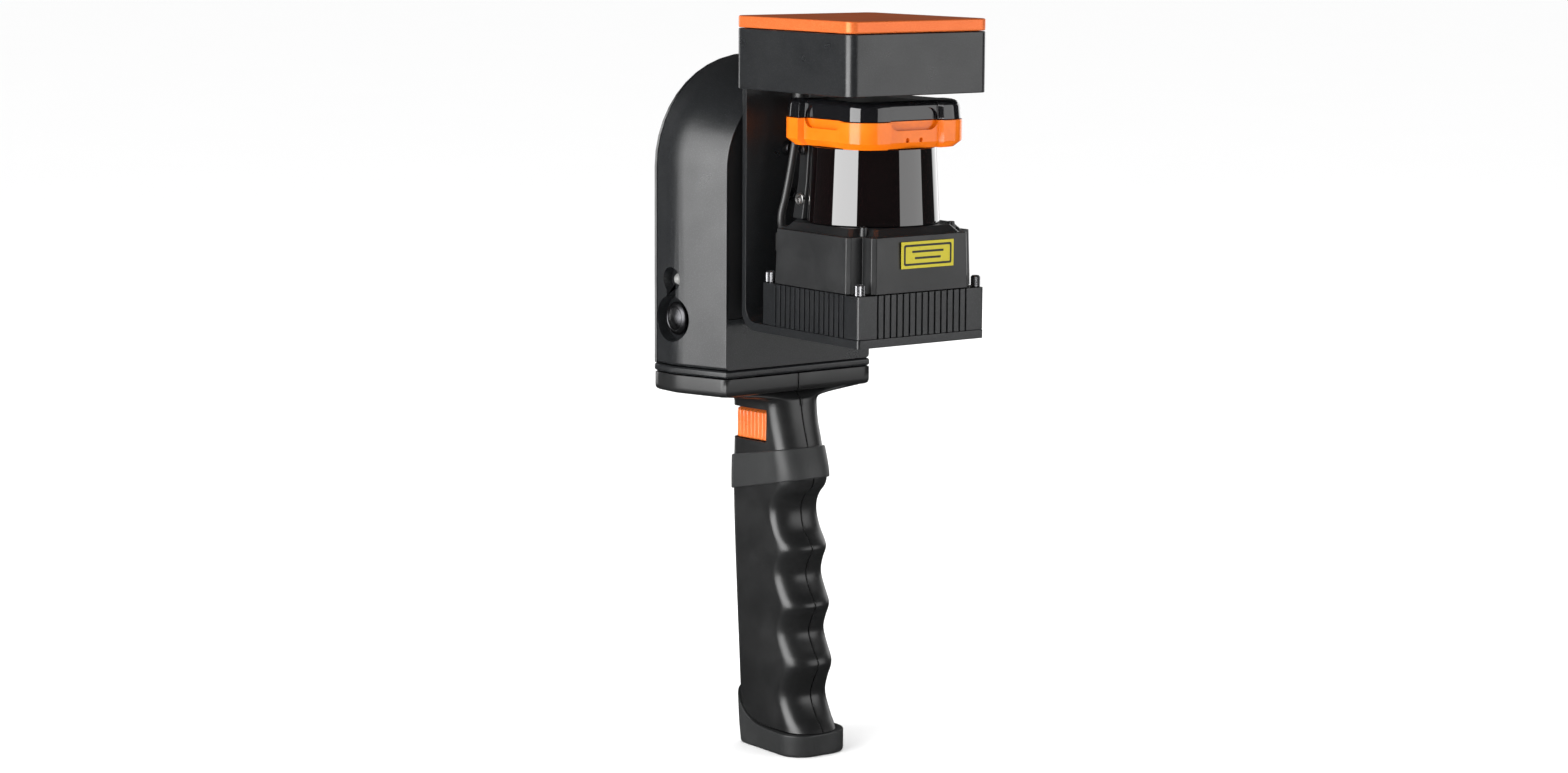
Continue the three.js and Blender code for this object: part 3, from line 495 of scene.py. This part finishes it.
def seam_height(y):
    return curve(CAP_SEAM, y)


def flange_outline(count, inset=0.0):
    """The right half of the housing's plan, as count points."""
    wide = HOUSING_HIGH.x
    front, back, radius = HOUSING_LOW.y, COVER_BACK, 3
    corners = [(0, front + inset), (FRONT_HALF - 0.6 * inset, front + inset), (wide - inset, BEVEL_END)]
    corners += arc(wide - inset - radius, back - inset - radius, radius, 0, 90, 6)
    corners.append((0, back - inset))
    return respaced(corners, count)


def between(start, end, t):
    """The point a share t of the way from start to end."""
    return tuple(a + (b - a) * t for a, b in zip(start, end))


def respaced(line, count):
    """The line's points moved so that count of them lie evenly along it, keeping its ends."""
    lengths = [0]
    for (u0, v0), (u1, v1) in zip(line, line[1:]):
        lengths.append(lengths[-1] + hypot(u1 - u0, v1 - v0))
    result = []
    for i in range(count):
        at = lengths[-1] * i / (count - 1)
        k = min(max(bisect_right(lengths, at), 1), len(line) - 1)
        t = (at - lengths[k - 1]) / (lengths[k] - lengths[k - 1])
        result.append(between(line[k - 1], line[k], t))
    return result


def settled(z, height_at, rounds=8):
    """The height z that height_at gives back unchanged, reached by repeating it."""
    for _ in range(rounds):
        z = height_at(z)
    return z


def grip_rows():
    """Half-sections from the end-cap joint up to the top of the flange, as rows of (x, y, z)."""
    low_end, neck_top = 38, SKIRT[0][0]  # the rows lie level from low_end up
    slanted, level = 14, 84
    rows = []
    count = len(grip_outline(0))
    start = []
    for i in range(count):
        start.append(settled(10.0, lambda z: seam_height(grip_outline(z)[i][1]) + CAP_GAP))
    for k in range(slanted):
        row = []
        for i in range(count):
            z = start[i] + (low_end - start[i]) * k / slanted
            row.append((*grip_outline(z)[i], z))
        rows.append(row)
    for k in range(level + 1):
        z = low_end + (neck_top - low_end) * k / level
        rows.append([(*p, z) for p in grip_outline(z)])
    return rows, count


def skirt_rows(count):
    """The neck's short fillet, the sloping underside of the flange, and the flange's edge."""
    rows = []
    steps = 24
    low, high = SKIRT[0][0], SKIRT[-1][0]
    edge = flange_outline(count, 2.4)
    for k in range(1, steps + 1):
        z = low + (high - low) * k / steps
        spread = curve(SKIRT, z)
        neck = grip_outline(min(z, NECK_END))
        rows.append([(*between(a, b, spread), z) for a, b in zip(neck, edge)])
    top = FLANGE_TOP
    for inset, z in ((1.1, 142.7), (0.35, 143.2), (0.05, 144), (0, 145), (0, top - 0.3), (0.3, top)):
        rows.append([(*p, z) for p in flange_outline(count, inset)])
    return rows


def grip_half(name, side):
    """One moulded half: side is 1 for +X and -1 for -X."""
    rows, count = grip_rows()
    rows += skirt_rows(count)
    lip, slope = 0.25, 0.02  # the bevel along the parting line, and how far its outer edge sinks
    rings = []
    for row in rows:
        first, last = row[0], row[-1]
        ring = [(PARTING, first[1] + lip, first[2]), (PARTING + lip, first[1] + slope, first[2])]
        ring += [(max(x, PARTING + lip), y, z) for x, y, z in row[1:-1]]
        ring += [(PARTING + lip, last[1] - slope, last[2]), (PARTING, last[1] - lip, last[2])]
        rings.append([(side * x, y, z) for x, y, z in ring])
    if side < 0:
        rings = [list(reversed(ring)) for ring in rings]
    return loft(name, rings)


def box_tool(low, high):
    outline = [(low[0], low[1]), (high[0], low[1]), (high[0], high[1]), (low[0], high[1])]
    return prism("tool", outline, low[2], high[2])


# The thumb button's opening, which runs out through the left and the back of the neck.
NOTCH = {"left": -30, "right": -1.7, "front": 4.3, "back": 40, "low": 122.5, "high": 135.3}


def build_grip():
    left = grip_half("grip_left_shape", -1)
    low, high = (NOTCH["left"], NOTCH["front"], NOTCH["low"]), (NOTCH["right"], NOTCH["back"], NOTCH["high"])
    combine(left, box_tool(low, high))
    smooth(left, 50)
    finish(left, GRIP_BLACK, ["grip_half_left"])
    right = grip_half("grip_right_shape", 1)
    smooth(right, 50)
    finish(right, GRIP_BLACK, ["grip_half_right"])


END_CAP_HALF = 14.4  # half the width of the end cap
END_CAP_PROUD = 0.8  # how far its back stands out from the grip's


def end_cap_section(z, inset):
    """The end cap's outline at height z, with large corners in front and points along its sides."""
    front = FRONT[0][1] + inset
    back = curve(BACK, z) + END_CAP_PROUD - inset
    half = END_CAP_HALF - inset
    back_r, front_r = CORNER_R - inset, 10 - inset
    low, high = front + front_r, back - back_r
    corner_steps, side_steps = 10, 16
    side = [low + (high - low) * k / side_steps for k in range(1, side_steps)]
    outline = arc(half - back_r, high, back_r, 0, 90, corner_steps)
    outline += arc(back_r - half, high, back_r, 90, 180, corner_steps)
    outline += [(-half, y) for y in reversed(side)]
    outline += arc(front_r - half, low, front_r, 180, 270, corner_steps)
    outline += arc(half - front_r, low, front_r, 270, 360, corner_steps)
    return outline + [(half, y) for y in side]


def build_end_cap():
    """A rounded foot, walls up to the seam, and a top that closes inside the grip."""
    middle = (CAP_LOW.y + CAP_HIGH.y) / 2
    rings = []
    for z, inset in ((0, 0.9), (0.12, 0.5), (0.45, 0.15), (1, 0)):
        rings.append([(*p, z) for p in end_cap_section(z, inset)])
    foot, lip, wall_rows = 1, 0.35, 16
    tops = []
    for i in range(len(rings[0])):
        tops.append(settled(12.0, lambda z: seam_height(end_cap_section(z, 0)[i][1])))
    for k in range(1, wall_rows + 1):
        ring = []
        for i, top in enumerate(tops):
            z = foot + (top - lip - foot) * k / wall_rows
            ring.append((*end_cap_section(z, 0)[i], z))
        rings.append(ring)
    for inset, drop in ((0.1, 0.1), (0.35, 0), (1.2, 0), (2.5, 0)):
        ring = []
        for i, top in enumerate(tops):
            x, y = end_cap_section(top, inset)[i]
            ring.append((x, y, seam_height(y) - drop))
        rings.append(ring)
    for shrink in (0.6, 0.3, 0.02):
        ring = []
        for x, y, _ in rings[-1]:
            x, y = x * shrink, middle + (y - middle) * shrink
            ring.append((x, y, seam_height(y) - 1))
        rings.append(ring)
    cap = loft("end_cap_shape", rings)
    for x, y in CAP_SCREWS:
        combine(cap, lathe("tool", rod(2.9, -1, 3.4), (x, y, 0), sides=40))
    smooth(cap, 45)
    finish(cap, COLLAR_GREY, ["end_cap"])


def build_collar():
    """The raised band round the top of the handle, tilted down towards the back."""
    low, high = (110.3, 101), (122.9, 114.8)  # each edge's height in front and at the back
    front_y, depth = -16, 44  # where the height in front is measured, and how far behind it the other is
    edge, proud, sunk = 0.4, 1.0, 0.6
    bands = 6

    def height(y, front_z, back_z):
        return front_z + (back_z - front_z) * (y - front_y) / depth

    def ring(front_z, back_z, inset):
        points = []
        for i in range(len(grip_outline(0))):
            middle = (front_z + back_z) / 2
            z = settled(middle, lambda z: height(grip_outline(z, inset)[i][1], front_z, back_z), 6)
            points.append((*grip_outline(z, inset)[i], z))
        mirrored = [(-x, y, z) for x, y, z in reversed(points[1:-1])]
        return points + mirrored

    rings = [ring(*low, sunk), ring(*low, edge - proud), ring(low[0] + edge, low[1] + edge, -proud)]
    for k in range(1, bands):
        rings.append(ring(*between(low, high, k / bands), -proud))
    rings += [ring(high[0] - edge, high[1] - edge, -proud), ring(*high, edge - proud), ring(*high, sunk)]
    collar = loft("collar_shape", rings, capped=False)
    close_loop(collar, len(rings[0]), len(rings))
    smooth(collar, 35)
    finish(collar, COLLAR_GREY, ["grip_collar"])


def close_loop(piece, count, rows):
    """Joins a tube's last ring back to its first."""
    mesh = bmesh.new()
    mesh.from_mesh(piece.data)
    mesh.verts.ensure_lookup_table()
    last = (rows - 1) * count
    for j in range(count):
        k = (j + 1) % count
        mesh.faces.new([mesh.verts[v] for v in (last + j, last + k, k, j)])
    mesh.to_mesh(piece.data)
    mesh.free()


def build_thumb_button():
    """A ribbed orange key that wraps from the left side round the back of the neck."""
    y_front, x_end, z_low, z_high = 4.6, -3.5, 122.8, 135
    rib_pitch, rib_height, first_rib, last_rib = 2.1, 0.9, 1.4, 16
    samples, thickness = 220, 4.2

    def path(z, inset):
        outline = [(-x, y) for x, y in grip_outline(z, inset, 24)]
        start = next(i for i, p in enumerate(outline) if p[1] >= y_front)
        line = [(outline[start][0], y_front)] + [p for p in outline[start:] if p[0] < x_end]
        return line + [(x_end, line[-1][1])]

    def row(z, inset, ribbed=0.0):
        line = respaced(path(z, inset), samples)
        result = []
        travelled = 0.0
        for i, (x, y) in enumerate(line):
            if i:
                travelled += hypot(x - line[i - 1][0], y - line[i - 1][1])
            lift = 0.0
            if first_rib < travelled < last_rib:
                wave = 0.5 + 0.5 * cos((travelled - first_rib) * 2 * pi / rib_pitch + pi)
                lift = ribbed * rib_height * wave**0.6
            ahead, behind = line[min(i + 1, samples - 1)], line[max(i - 1, 0)]
            tangent = Vector((ahead[0] - behind[0], ahead[1] - behind[1])).normalized()
            result.append((x - tangent.y * lift, y + tangent.x * lift, z))
        return result

    profile = [(z_low, 1.5, 0), (z_low + 0.15, 1.3, 0), (z_low + 0.4, 1.2, 0.4), (z_low + 0.9, 1.2, 1)]
    profile += [(z_low + 0.9 + (z_high - 2.6 - z_low) * k / 6, 1.2, 1) for k in range(1, 7)]
    profile += [(z_high - 1.2, 1.3, 0.9), (z_high - 0.8, 1.8, 0.3), (z_high - 0.35, 2.5, 0), (z_high, 3.4, 0)]
    outer = [row(z, inset, ribbed) for z, inset, ribbed in profile]
    inner = [row(z, thickness) for z, _, _ in profile]
    rings = [list(reversed(list(a) + list(reversed(b)))) for a, b in zip(outer, inner)]
    button = loft("thumb_button_shape", rings)
    smooth(button, 45)
    finish(button, BUTTON_ORANGE, ["thumb_button"])


# ---- Housing ----

# Centres as (y, z) on the housing's left side, and the data socket's on its right.
POWER = (24.6, 171.5)
LED = (24.6, 186.8)
PORT = (20.5, 178)
OUTSIDE = 48  # how far out the cutters for the left side start
PANEL_DEPTHS = (HOUSING_LOW.y + 0.15, HOUSING_LOW.y + 1.2)


def arch_outline(half, bottom, corner):
    """An arch of straight sides under a half circle about the drive's line, as (x, z) points."""
    points = arc(-half + corner, bottom + corner, corner, 180, 270, 4)
    points += arc(half - corner, bottom + corner, corner, 270, 360, 4)
    return points + arc(0, DRIVE_Z, half, 0, 180, 72)


def build_housing():
    """The arched shell, its sides splayed behind a narrower front, with its recesses."""
    front, bend, back = HOUSING_LOW.y, BEVEL_END, HOUSING_HIGH.y
    narrow, wide, bottom = FRONT_HALF, HOUSING_HIGH.x, HOUSING_LOW.z
    slope = (wide - narrow) / (bend - front)
    rows = [(back, wide - 0.3), (back - 0.3, wide), (bend + 5, wide)]
    rows += [(bend + 2.5, wide - 0.06), (bend, wide - 0.32), (bend - 2.5, wide - slope * 2.5 - 0.06)]
    rows += [(bend - 5, wide - slope * 5), (front + 8, narrow + slope * 8)]
    rows += [(front + 0.35, narrow + slope * 0.35), (front + 0.1, narrow - 0.05), (front, narrow - 0.35)]
    rings = [[(x, y, z) for x, z in arch_outline(half, bottom, 1.2)] for y, half in rows]
    shell = loft("housing_shape", rings)
    combine(shell, prism("tool", arch_outline(narrow - 0.5, 173, 0.05), front - 3, front + 0.45, "y"))
    power_floor, led_floor = -38.4, -38.9
    combine(shell, lathe("tool", rod(9, -OUTSIDE, power_floor), (0, *POWER), "x", 72))
    combine(shell, lathe("tool", rod(4.85, -OUTSIDE, led_floor), (0, *LED), "x", 56))
    neck = 2.6
    waist = [(POWER[0] - neck, POWER[1] + 5), (POWER[0] + neck, POWER[1] + 5)]
    waist += [(LED[0] + neck, LED[1] - 2), (LED[0] - neck, LED[1] - 2)]
    combine(shell, prism("tool", waist, -OUTSIDE, led_floor, "x"))
    combine(shell, lathe("tool", rod(5.7, 34, 50), (0, *PORT), "x", 48))
    soften(shell, 0.35, 3, 32)
    finish(shell, METAL, ["housing_shell"])


def build_front_panel():
    panel = prism("front_panel_shape", arch_outline(FRONT_HALF - 0.8, 173.3, 0.05), *PANEL_DEPTHS, "y")
    combine(panel, lathe("tool", rod(9.3, -3, 3), (0, 0, DRIVE_Z), "y", 64))
    soften(panel, 0.15, 2)
    finish(panel, PANEL_BLACK, ["front_panel"])


# ---- Pieces that keep their CAD shape ----


def build_refined():
    """CAD nodes whose shape is right: each gets rounded edges and its finish."""
    for node, width, material, slot in (
        ("back_cover", 0.4, METAL, "black_metal"),
        ("adapter_plate", 0.35, METAL, "black_metal"),
        ("turntable", 0.3, COLLAR_GREY, "grey_plastic"),
        ("lidar_spine", 0.5, BODY_BLACK, "black_plastic"),
        ("cable_boot", 0.6, CABLE_BLACK, "black_plastic"),
        ("cable_gland", 0.4, CABLE_BLACK, "black_plastic"),
        ("data_port", 0.25, PORT_METAL, "port_metal"),
        ("lidar_base", 0.18, METAL, "black_metal"),
        ("lidar_body", 0.6, BODY_BLACK, "black_plastic"),
        ("lidar_window", 0.2, WINDOW, "window_black"),
    ):
        finish(refined(node, width), material, [node])


# ---- Lidar cap ----


def cap_plan(half, z):
    """The lidar cap's plan: a rounded square with a wide shallow recess in each side."""
    corner_r, recess_half, recess_depth = 10, 12.6, 2.2
    quarter = arc(half - corner_r, half - corner_r, corner_r, 1, 89, 16)
    quarter += [(recess_half, half), (recess_half - 1, half - recess_depth)]
    quarter += [(1 - recess_half, half - recess_depth), (-recess_half, half)]
    points = []
    for turn in (0, pi / 2, pi, 3 * pi / 2):
        c, s = cos(turn), sin(turn)
        points += [(u * c - v * s, u * s + v * c + LIDAR_Y, z) for u, v in quarter]
    return points


def cut_cap_slots(piece):
    """A slot with round ends in each side of the cap, across the joint of band and top."""
    low, high, half, floor = 248.8, 257.0, 11.4, BAND_HIGH.x - 3.7
    r = (high - low) / 2
    outline = arc(half - r, low + r, r, -90, 90, 16) + arc(r - half, low + r, r, 90, 270, 16)
    for sign in (-1, 1):
        ends = sorted((sign * floor, sign * 40))
        combine(piece, prism("tool", outline, ends[0] + LIDAR_Y, ends[1] + LIDAR_Y, "y"))
        combine(piece, prism("tool", [(u + LIDAR_Y, v) for u, v in outline], *ends, "x"))


def build_cap():
    """The orange band, with two pin holes in front, and the gloss top with its rounded rim."""
    half = BAND_HIGH.x
    low, high = BAND_LOW.z, BAND_HIGH.z
    edges = ((half - 2.2, low), (half, low + 2.4), (half, high - 0.1), (half - 0.1, high))
    band = loft("cap_band_shape", [cap_plan(*edge) for edge in edges])
    cut_cap_slots(band)
    for x in (-3.2, 3.2):
        combine(band, lathe("tool", rod(0.9, -5, 3.2), (x, LIDAR_Y - half, low + 3.2), "y", 24))
    soften(band, 0.3, 3, 25)
    finish(band, BAND_ORANGE, ["lidar_cap_band"])
    low, high = TOP_LOW.z, TOP_HIGH.z
    side, round_r, steps = half - 0.6, 2.6, 6
    rings = [cap_plan(half - 0.3, low), cap_plan(side, high - round_r)]
    for k in range(1, steps + 1):
        t = pi / 2 * k / steps
        rings.append(cap_plan(side - round_r * (1 - cos(t)), high - round_r + round_r * sin(t)))
    top = loft("cap_top_shape", rings)
    cut_cap_slots(top)
    soften(top, 0.3, 3, 25)
    finish(top, CAP_GLOSS, ["lidar_cap_top"])


# ---- Screws, box and bracket ----


def screw_head(name, seat, axis, height, radius=2.75, socket=1.45):
    """A knurled socket head standing on seat along an axis, such as "-y"."""
    sides, knurls, knurl_depth = 96, 24, 0.07

    def ring(size, z):
        points = []
        for i in range(sides):
            angle = 2 * pi * i / sides
            reach = size(angle)
            points.append((reach * cos(angle), reach * sin(angle), z))
        return points

    def hexagon(angle):
        return socket * cos(pi / 6) / cos((angle % (pi / 3)) - pi / 6)

    def knurled(angle):
        return radius - knurl_depth + knurl_depth * cos(knurls * angle)

    rings = [
        ring(lambda a: radius - 0.3, 0), ring(knurled, 0.2), ring(knurled, height - 0.45),
        ring(lambda a: radius - 0.14, height - 0.42), ring(lambda a: radius - 0.45, height),
        ring(lambda a: hexagon(a) + 0.1, height), ring(hexagon, height - 0.1), ring(hexagon, height - 1.4),
        ring(lambda a: 0.01, height - 1.6),
    ]
    turn = {
        "z": lambda x, y, z: (x, y, z),
        "-y": lambda x, y, z: (x, -z, y),
        "-x": lambda x, y, z: (-z, -x, y),
    }[axis]
    placed = [[tuple(Vector(turn(*p)) + Vector(seat)) for p in r] for r in rings]
    head = loft(name, placed)
    smooth(head, 40)
    return head


def build_screws():
    seat_depth = 3.3  # from the back of the bracket to under the screw heads, just clear of its plate
    for i in range(1, 5):
        low, high = node_box(f"bracket_screw_{i}")
        seat = ((low.x + high.x) / 2, BRACKET_HIGH.y - seat_depth, (low.z + high.z) / 2)
        head = screw_head(f"bracket_screw_{i}_shape", seat, "-y", seat[1] - low.y)
        finish(head, DARK_STEEL, [f"bracket_screw_{i}"])
        low, high = node_box(f"lidar_screw_{i}")
        seat = ((low.x + high.x) / 2, (low.y + high.y) / 2, BASE_HIGH.z + 0.1)
        head = screw_head(f"lidar_screw_{i}_shape", seat, "z", high.z - seat[2], high.x - seat[0], 1.3)
        finish(head, GREY_STEEL, [f"lidar_screw_{i}"])
    # Painted highlight: the lower spine screw gets the bright steel to stand for the glint on its rim, and
    # the upper one keeps the dark steel.
    for i, (x, z, radius, painted_light_metal) in enumerate(((-19.2, 221, 2.4, STEEL), (-18.3, 239.6, 1.9, DARK_STEEL))):
        head = screw_head(f"spine_screw_{i + 1}", (x, LIDAR_Y + 19.4, z), "-x", 1.7, radius, 1.6)
        finish(head, painted_light_metal, body="head")
    for node in sorted(frame["nodes"]):
        if node.startswith(("grip_screw", "cap_screw", "cover_screw", "shelf_screw")):
            finish(refined(node, 0.12, 2), STEEL, [node])


def build_head():
    middle = (BOX_LOW.y + BOX_HIGH.y) / 2
    half_x, half_y = BOX_HIGH.x, (BOX_HIGH.y - BOX_LOW.y) / 2
    corner, corner_steps = 4, 12
    outline = rounded_rect(0, middle, half_x, half_y, corner, corner_steps)
    body = prism("head_box_shape", outline, BOX_LOW.z, BOX_HIGH.z)
    soften(body, 0.35, 3)
    finish(body, METAL, ["head_box"])
    lid = prism("head_lid_shape", outline, BOX_HIGH.z + LID_GAP, LID_TOP)
    soften(lid, 0.6, 4)
    finish(lid, ORANGE_METAL, ["head_lid"])


def build_bracket():
    """An L of bent plate: a shelf under the lidar and an upright behind it."""
    low, high = BRACKET_LOW, BRACKET_HIGH
    thick, bend = 3.2, 6  # the plate's thickness, and the inner radius of its bend
    outline = [(low.y, low.z)]
    outline += arc(high.y - bend - thick, low.z + bend + thick, bend + thick, -90, 0, 14)
    outline += [(high.y, high.z), (high.y - thick, high.z)]
    outline += arc(high.y - thick - bend, low.z + thick + bend, bend, 0, -90, 14)
    outline += [(low.y, low.z + thick)]
    sheet = prism("bracket_shape", outline, low.x, high.x, "x")
    middle, half_y = (low.y + high.y) / 2, (high.y - low.y) / 2
    plan = rounded_rect(0, middle, high.x, half_y, 1.2, 6)
    combine(sheet, prism("tool", plan, low.z - 1, high.z + 1), "INTERSECT")
    soften(sheet, 0.45, 3)
    finish(sheet, METAL, ["bracket"])


# ---- Cable, label, controls and inner pieces ----

CABLE_RADIUS = 1.5


def build_cable():
    """The lidar's cable, from its boot up to the gland under the box."""
    points = (
        (-19.2, -15.9, 207), (-20.2, -16.3, 213), (-18.4, -16.6, 221), (-16.3, -16.6, 230),
        (-14.3, -16.6, 240), (-12.4, -16.8, 250), (-11.5, -17, 258), (-11.5, -17, 262),
    )
    line = bpy.data.curves.new("lidar_cable_shape", "CURVE")
    line.dimensions = "3D"
    line.bevel_depth = CABLE_RADIUS * MM
    line.bevel_resolution = 8
    line.resolution_u = 16
    spline = line.splines.new("BEZIER")
    spline.bezier_points.add(len(points) - 1)
    for knot, point in zip(spline.bezier_points, points):
        knot.co = Vector(point) * MM
        knot.handle_left_type = knot.handle_right_type = "AUTO"
    cable = bpy.data.objects.new("lidar_cable_shape", line)
    bpy.context.scene.collection.objects.link(cable)
    finish(cable, CABLE_BLACK, ["lidar_cable"])


def build_label():
    """A yellow plate with a black border and two plain bars."""
    low, high = node_box("label_plate")
    plate = refined("label_plate", 0.12, 2)
    finish(plate, YELLOW, ["label_plate"])
    front, behind = low.y - 0.03, low.y + 0.05  # the ink stands just proud of the plate
    margin, stroke = 1.1, 0.8
    cx, cz = (low.x + high.x) / 2, (low.z + high.z) / 2
    half_x, half_z = (high.x - low.x) / 2 - margin, (high.z - low.z) / 2 - margin
    border = prism("label_border", rounded_rect(cx, cz, half_x, half_z, 0.8, 4), front, behind, "y")
    opening = rounded_rect(cx, cz, half_x - stroke, half_z - stroke, 0.4, 4)
    combine(border, prism("tool", opening, front - 1, low.y + 1, "y"))
    finish(border, INK, body="head")
    for i, (half_length, rise) in enumerate(((7.5, 1.2), (6.2, -1.2))):
        outline = rounded_rect(cx, cz + rise, half_length, 0.42, 0.2, 3)
        bar = prism(f"label_bar_{i + 1}", outline, front, behind, "y")
        finish(bar, INK, body="head")


def build_controls():
    """The domed power button on its short stem, and the lens of the light above it."""
    low, high = node_box("power_button")
    y, z = (low.y + high.y) / 2, (low.z + high.z) / 2
    dome = [(0, 39.9), (6.5, 39.9), (6.5, 40.1), (6.2, 40.7), (5.2, 41.3), (4.9, 41.35), (4.6, 41.2)]
    dome += [(4.2, 41.5), (2.6, 42.1), (1.2, 42.35), (0, 42.4)]
    button = lathe("power_button_shape", [(r, -h) for r, h in reversed(dome)], (0, y, z), "x", 72)
    combine(button, lathe("tool", rod(2.8, -40, -39.65), (0, y, z), "x", 40), "UNION")
    smooth(button, 35)
    finish(button, DARK_STEEL, ["power_button"])
    low, high = node_box("status_led")
    y, z = (low.y + high.y) / 2, (low.z + high.z) / 2
    lens = [(0, -41), (0.8, -40.85), (1.5, -40.45), (2, -39.85), (2.3, -39.2), (0, -39.2)]
    led = lathe("status_led_shape", lens, (0, y, z), "x", 48)
    smooth(led, 40)
    finish(led, LENS, ["status_led"])


def build_inner():
    """Inner pieces, mostly out of sight, still get their own finishes."""
    metal_nodes = ("inertial_sensor", "lidar_motor", "drive_motor", "front_bearing", "battery_contact_spring")
    for material, nodes in (
        (BOARD, ("main_board", "sensor_board", "lidar_board")),
        (BARE_METAL, metal_nodes),
        (WRAP, ("battery_cell",)),
        (MIRROR, ("lidar_rotor",)),
        (COLLAR_GREY, ("power_switch", "thumb_switch_plunger")),
        (BODY_BLACK, ("thumb_switch", "slip_ring")),
    ):
        for node in nodes:
            paint_node(node, material)


def paint_node(node, material):
    data = frame["nodes"][node].data
    data.materials.clear()
    data.materials.append(material)


# ---- Stage, lights and camera ----


def build_stage():
    """A wide white floor that the object's shiny faces don't mirror."""
    half, thickness = 9000, 20
    floor = prism("floor", rounded_rect(0, 0, half, half, 10, 2), -thickness, 0)
    look = Finish("floor_white", (0.92, 0.92, 0.92), 0.9)
    look.vary_roughness(look.noise(5, 2), 0.03)
    floor.data.materials.append(look.material)
    floor.visible_glossy = False
    return floor


def build_world():
    """White behind the object, a soft grey room for its diffuse light, and a dark one for its reflections."""
    world = bpy.data.worlds.new("studio")
    world.use_nodes = True
    tree = world.node_tree
    path = tree.nodes.new("ShaderNodeLightPath")
    shown = tree.nodes["Background"]
    shown.inputs["Strength"].default_value = 0.4
    for ray, strength in (("Is Glossy Ray", 0.035), ("Is Camera Ray", 1)):
        background = tree.nodes.new("ShaderNodeBackground")
        background.inputs["Color"].default_value = (1, 1, 1, 1)
        background.inputs["Strength"].default_value = strength
        mix = tree.nodes.new("ShaderNodeMixShader")
        tree.links.new(path.outputs[ray], mix.inputs["Fac"])
        tree.links.new(shown.outputs[0], mix.inputs[1])
        tree.links.new(background.outputs["Background"], mix.inputs[2])
        shown = mix
    tree.nodes["Background"].inputs["Color"].default_value = (1, 1, 1, 1)
    tree.links.new(shown.outputs[0], tree.nodes["World Output"].inputs["Surface"])
    bpy.context.scene.world = world


def area_light(name, place, aim, size, power):
    light = bpy.data.lights.new(name, "AREA")
    light.shape = "RECTANGLE"
    light.size, light.size_y = size[0] * MM, size[1] * MM
    light.energy = power
    lamp = bpy.data.objects.new(name, light)
    lamp.location = Vector(place) * MM
    lamp.visible_camera = False
    lamp.rotation_euler = (Vector(aim) - Vector(place)).to_track_quat("-Z", "Y").to_euler()
    bpy.context.scene.collection.objects.link(lamp)


def build_lights(floor):
    """A bright softbox at the left, dimmer ones in front, at the right and behind, and a sun.

    The sun lights only the floor, so that it comes out white.
    """
    area_light("key_left", (-900, -45, 350), (0, 0, 200), (800, 800), 11)
    area_light("fill_front", (690, -1100, 380), (0, -40, 200), (1150, 760), 4.3)
    area_light("rim_behind", (-200, 1500, 350), (0, 0, 200), (450, 900), 3)
    area_light("soft_right", (1250, 500, 450), (0, 0, 200), (900, 900), 4)
    sun = bpy.data.lights.new("floor_sun", "SUN")
    sun.energy = 2.3
    sun.angle = radians(60)
    lamp = bpy.data.objects.new("floor_sun", sun)
    bpy.context.scene.collection.objects.link(lamp)
    only_floor = bpy.data.collections.new("floor_only")
    only_floor.objects.link(floor)
    lamp.light_linking.receiver_collection = only_floor


def build_camera():
    """A long lens from the front left, a little above."""
    azimuth, elevation, roll = radians(-36.8), radians(8.38), radians(0.32)
    distance = 1279
    target = Vector((-32.8, -35.5, 151.3))
    back = Vector((sin(azimuth) * cos(elevation), -cos(azimuth) * cos(elevation), sin(elevation)))
    camera = bpy.data.cameras.new("camera")
    camera.sensor_width = 36
    camera.lens = 77.84
    camera.clip_end = 100
    eye = bpy.data.objects.new("camera", camera)
    eye.rotation_mode = "QUATERNION"
    turn = (-back).to_track_quat("-Z", "Y").to_matrix() @ Matrix.Rotation(roll, 3, "Z")
    eye.rotation_quaternion = turn.to_quaternion()
    eye.location = (target + back * distance) * MM
    bpy.context.scene.collection.objects.link(eye)
    bpy.context.scene.camera = eye


build_camera()
build_grip()
build_end_cap()
build_collar()
build_thumb_button()
build_housing()
build_front_panel()
build_refined()
build_cap()
build_screws()
build_head()
build_bracket()
build_cable()
build_label()
build_controls()
build_inner()
build_world()
build_lights(build_stage())
bpy.context.scene.view_settings.view_transform = "Standard"
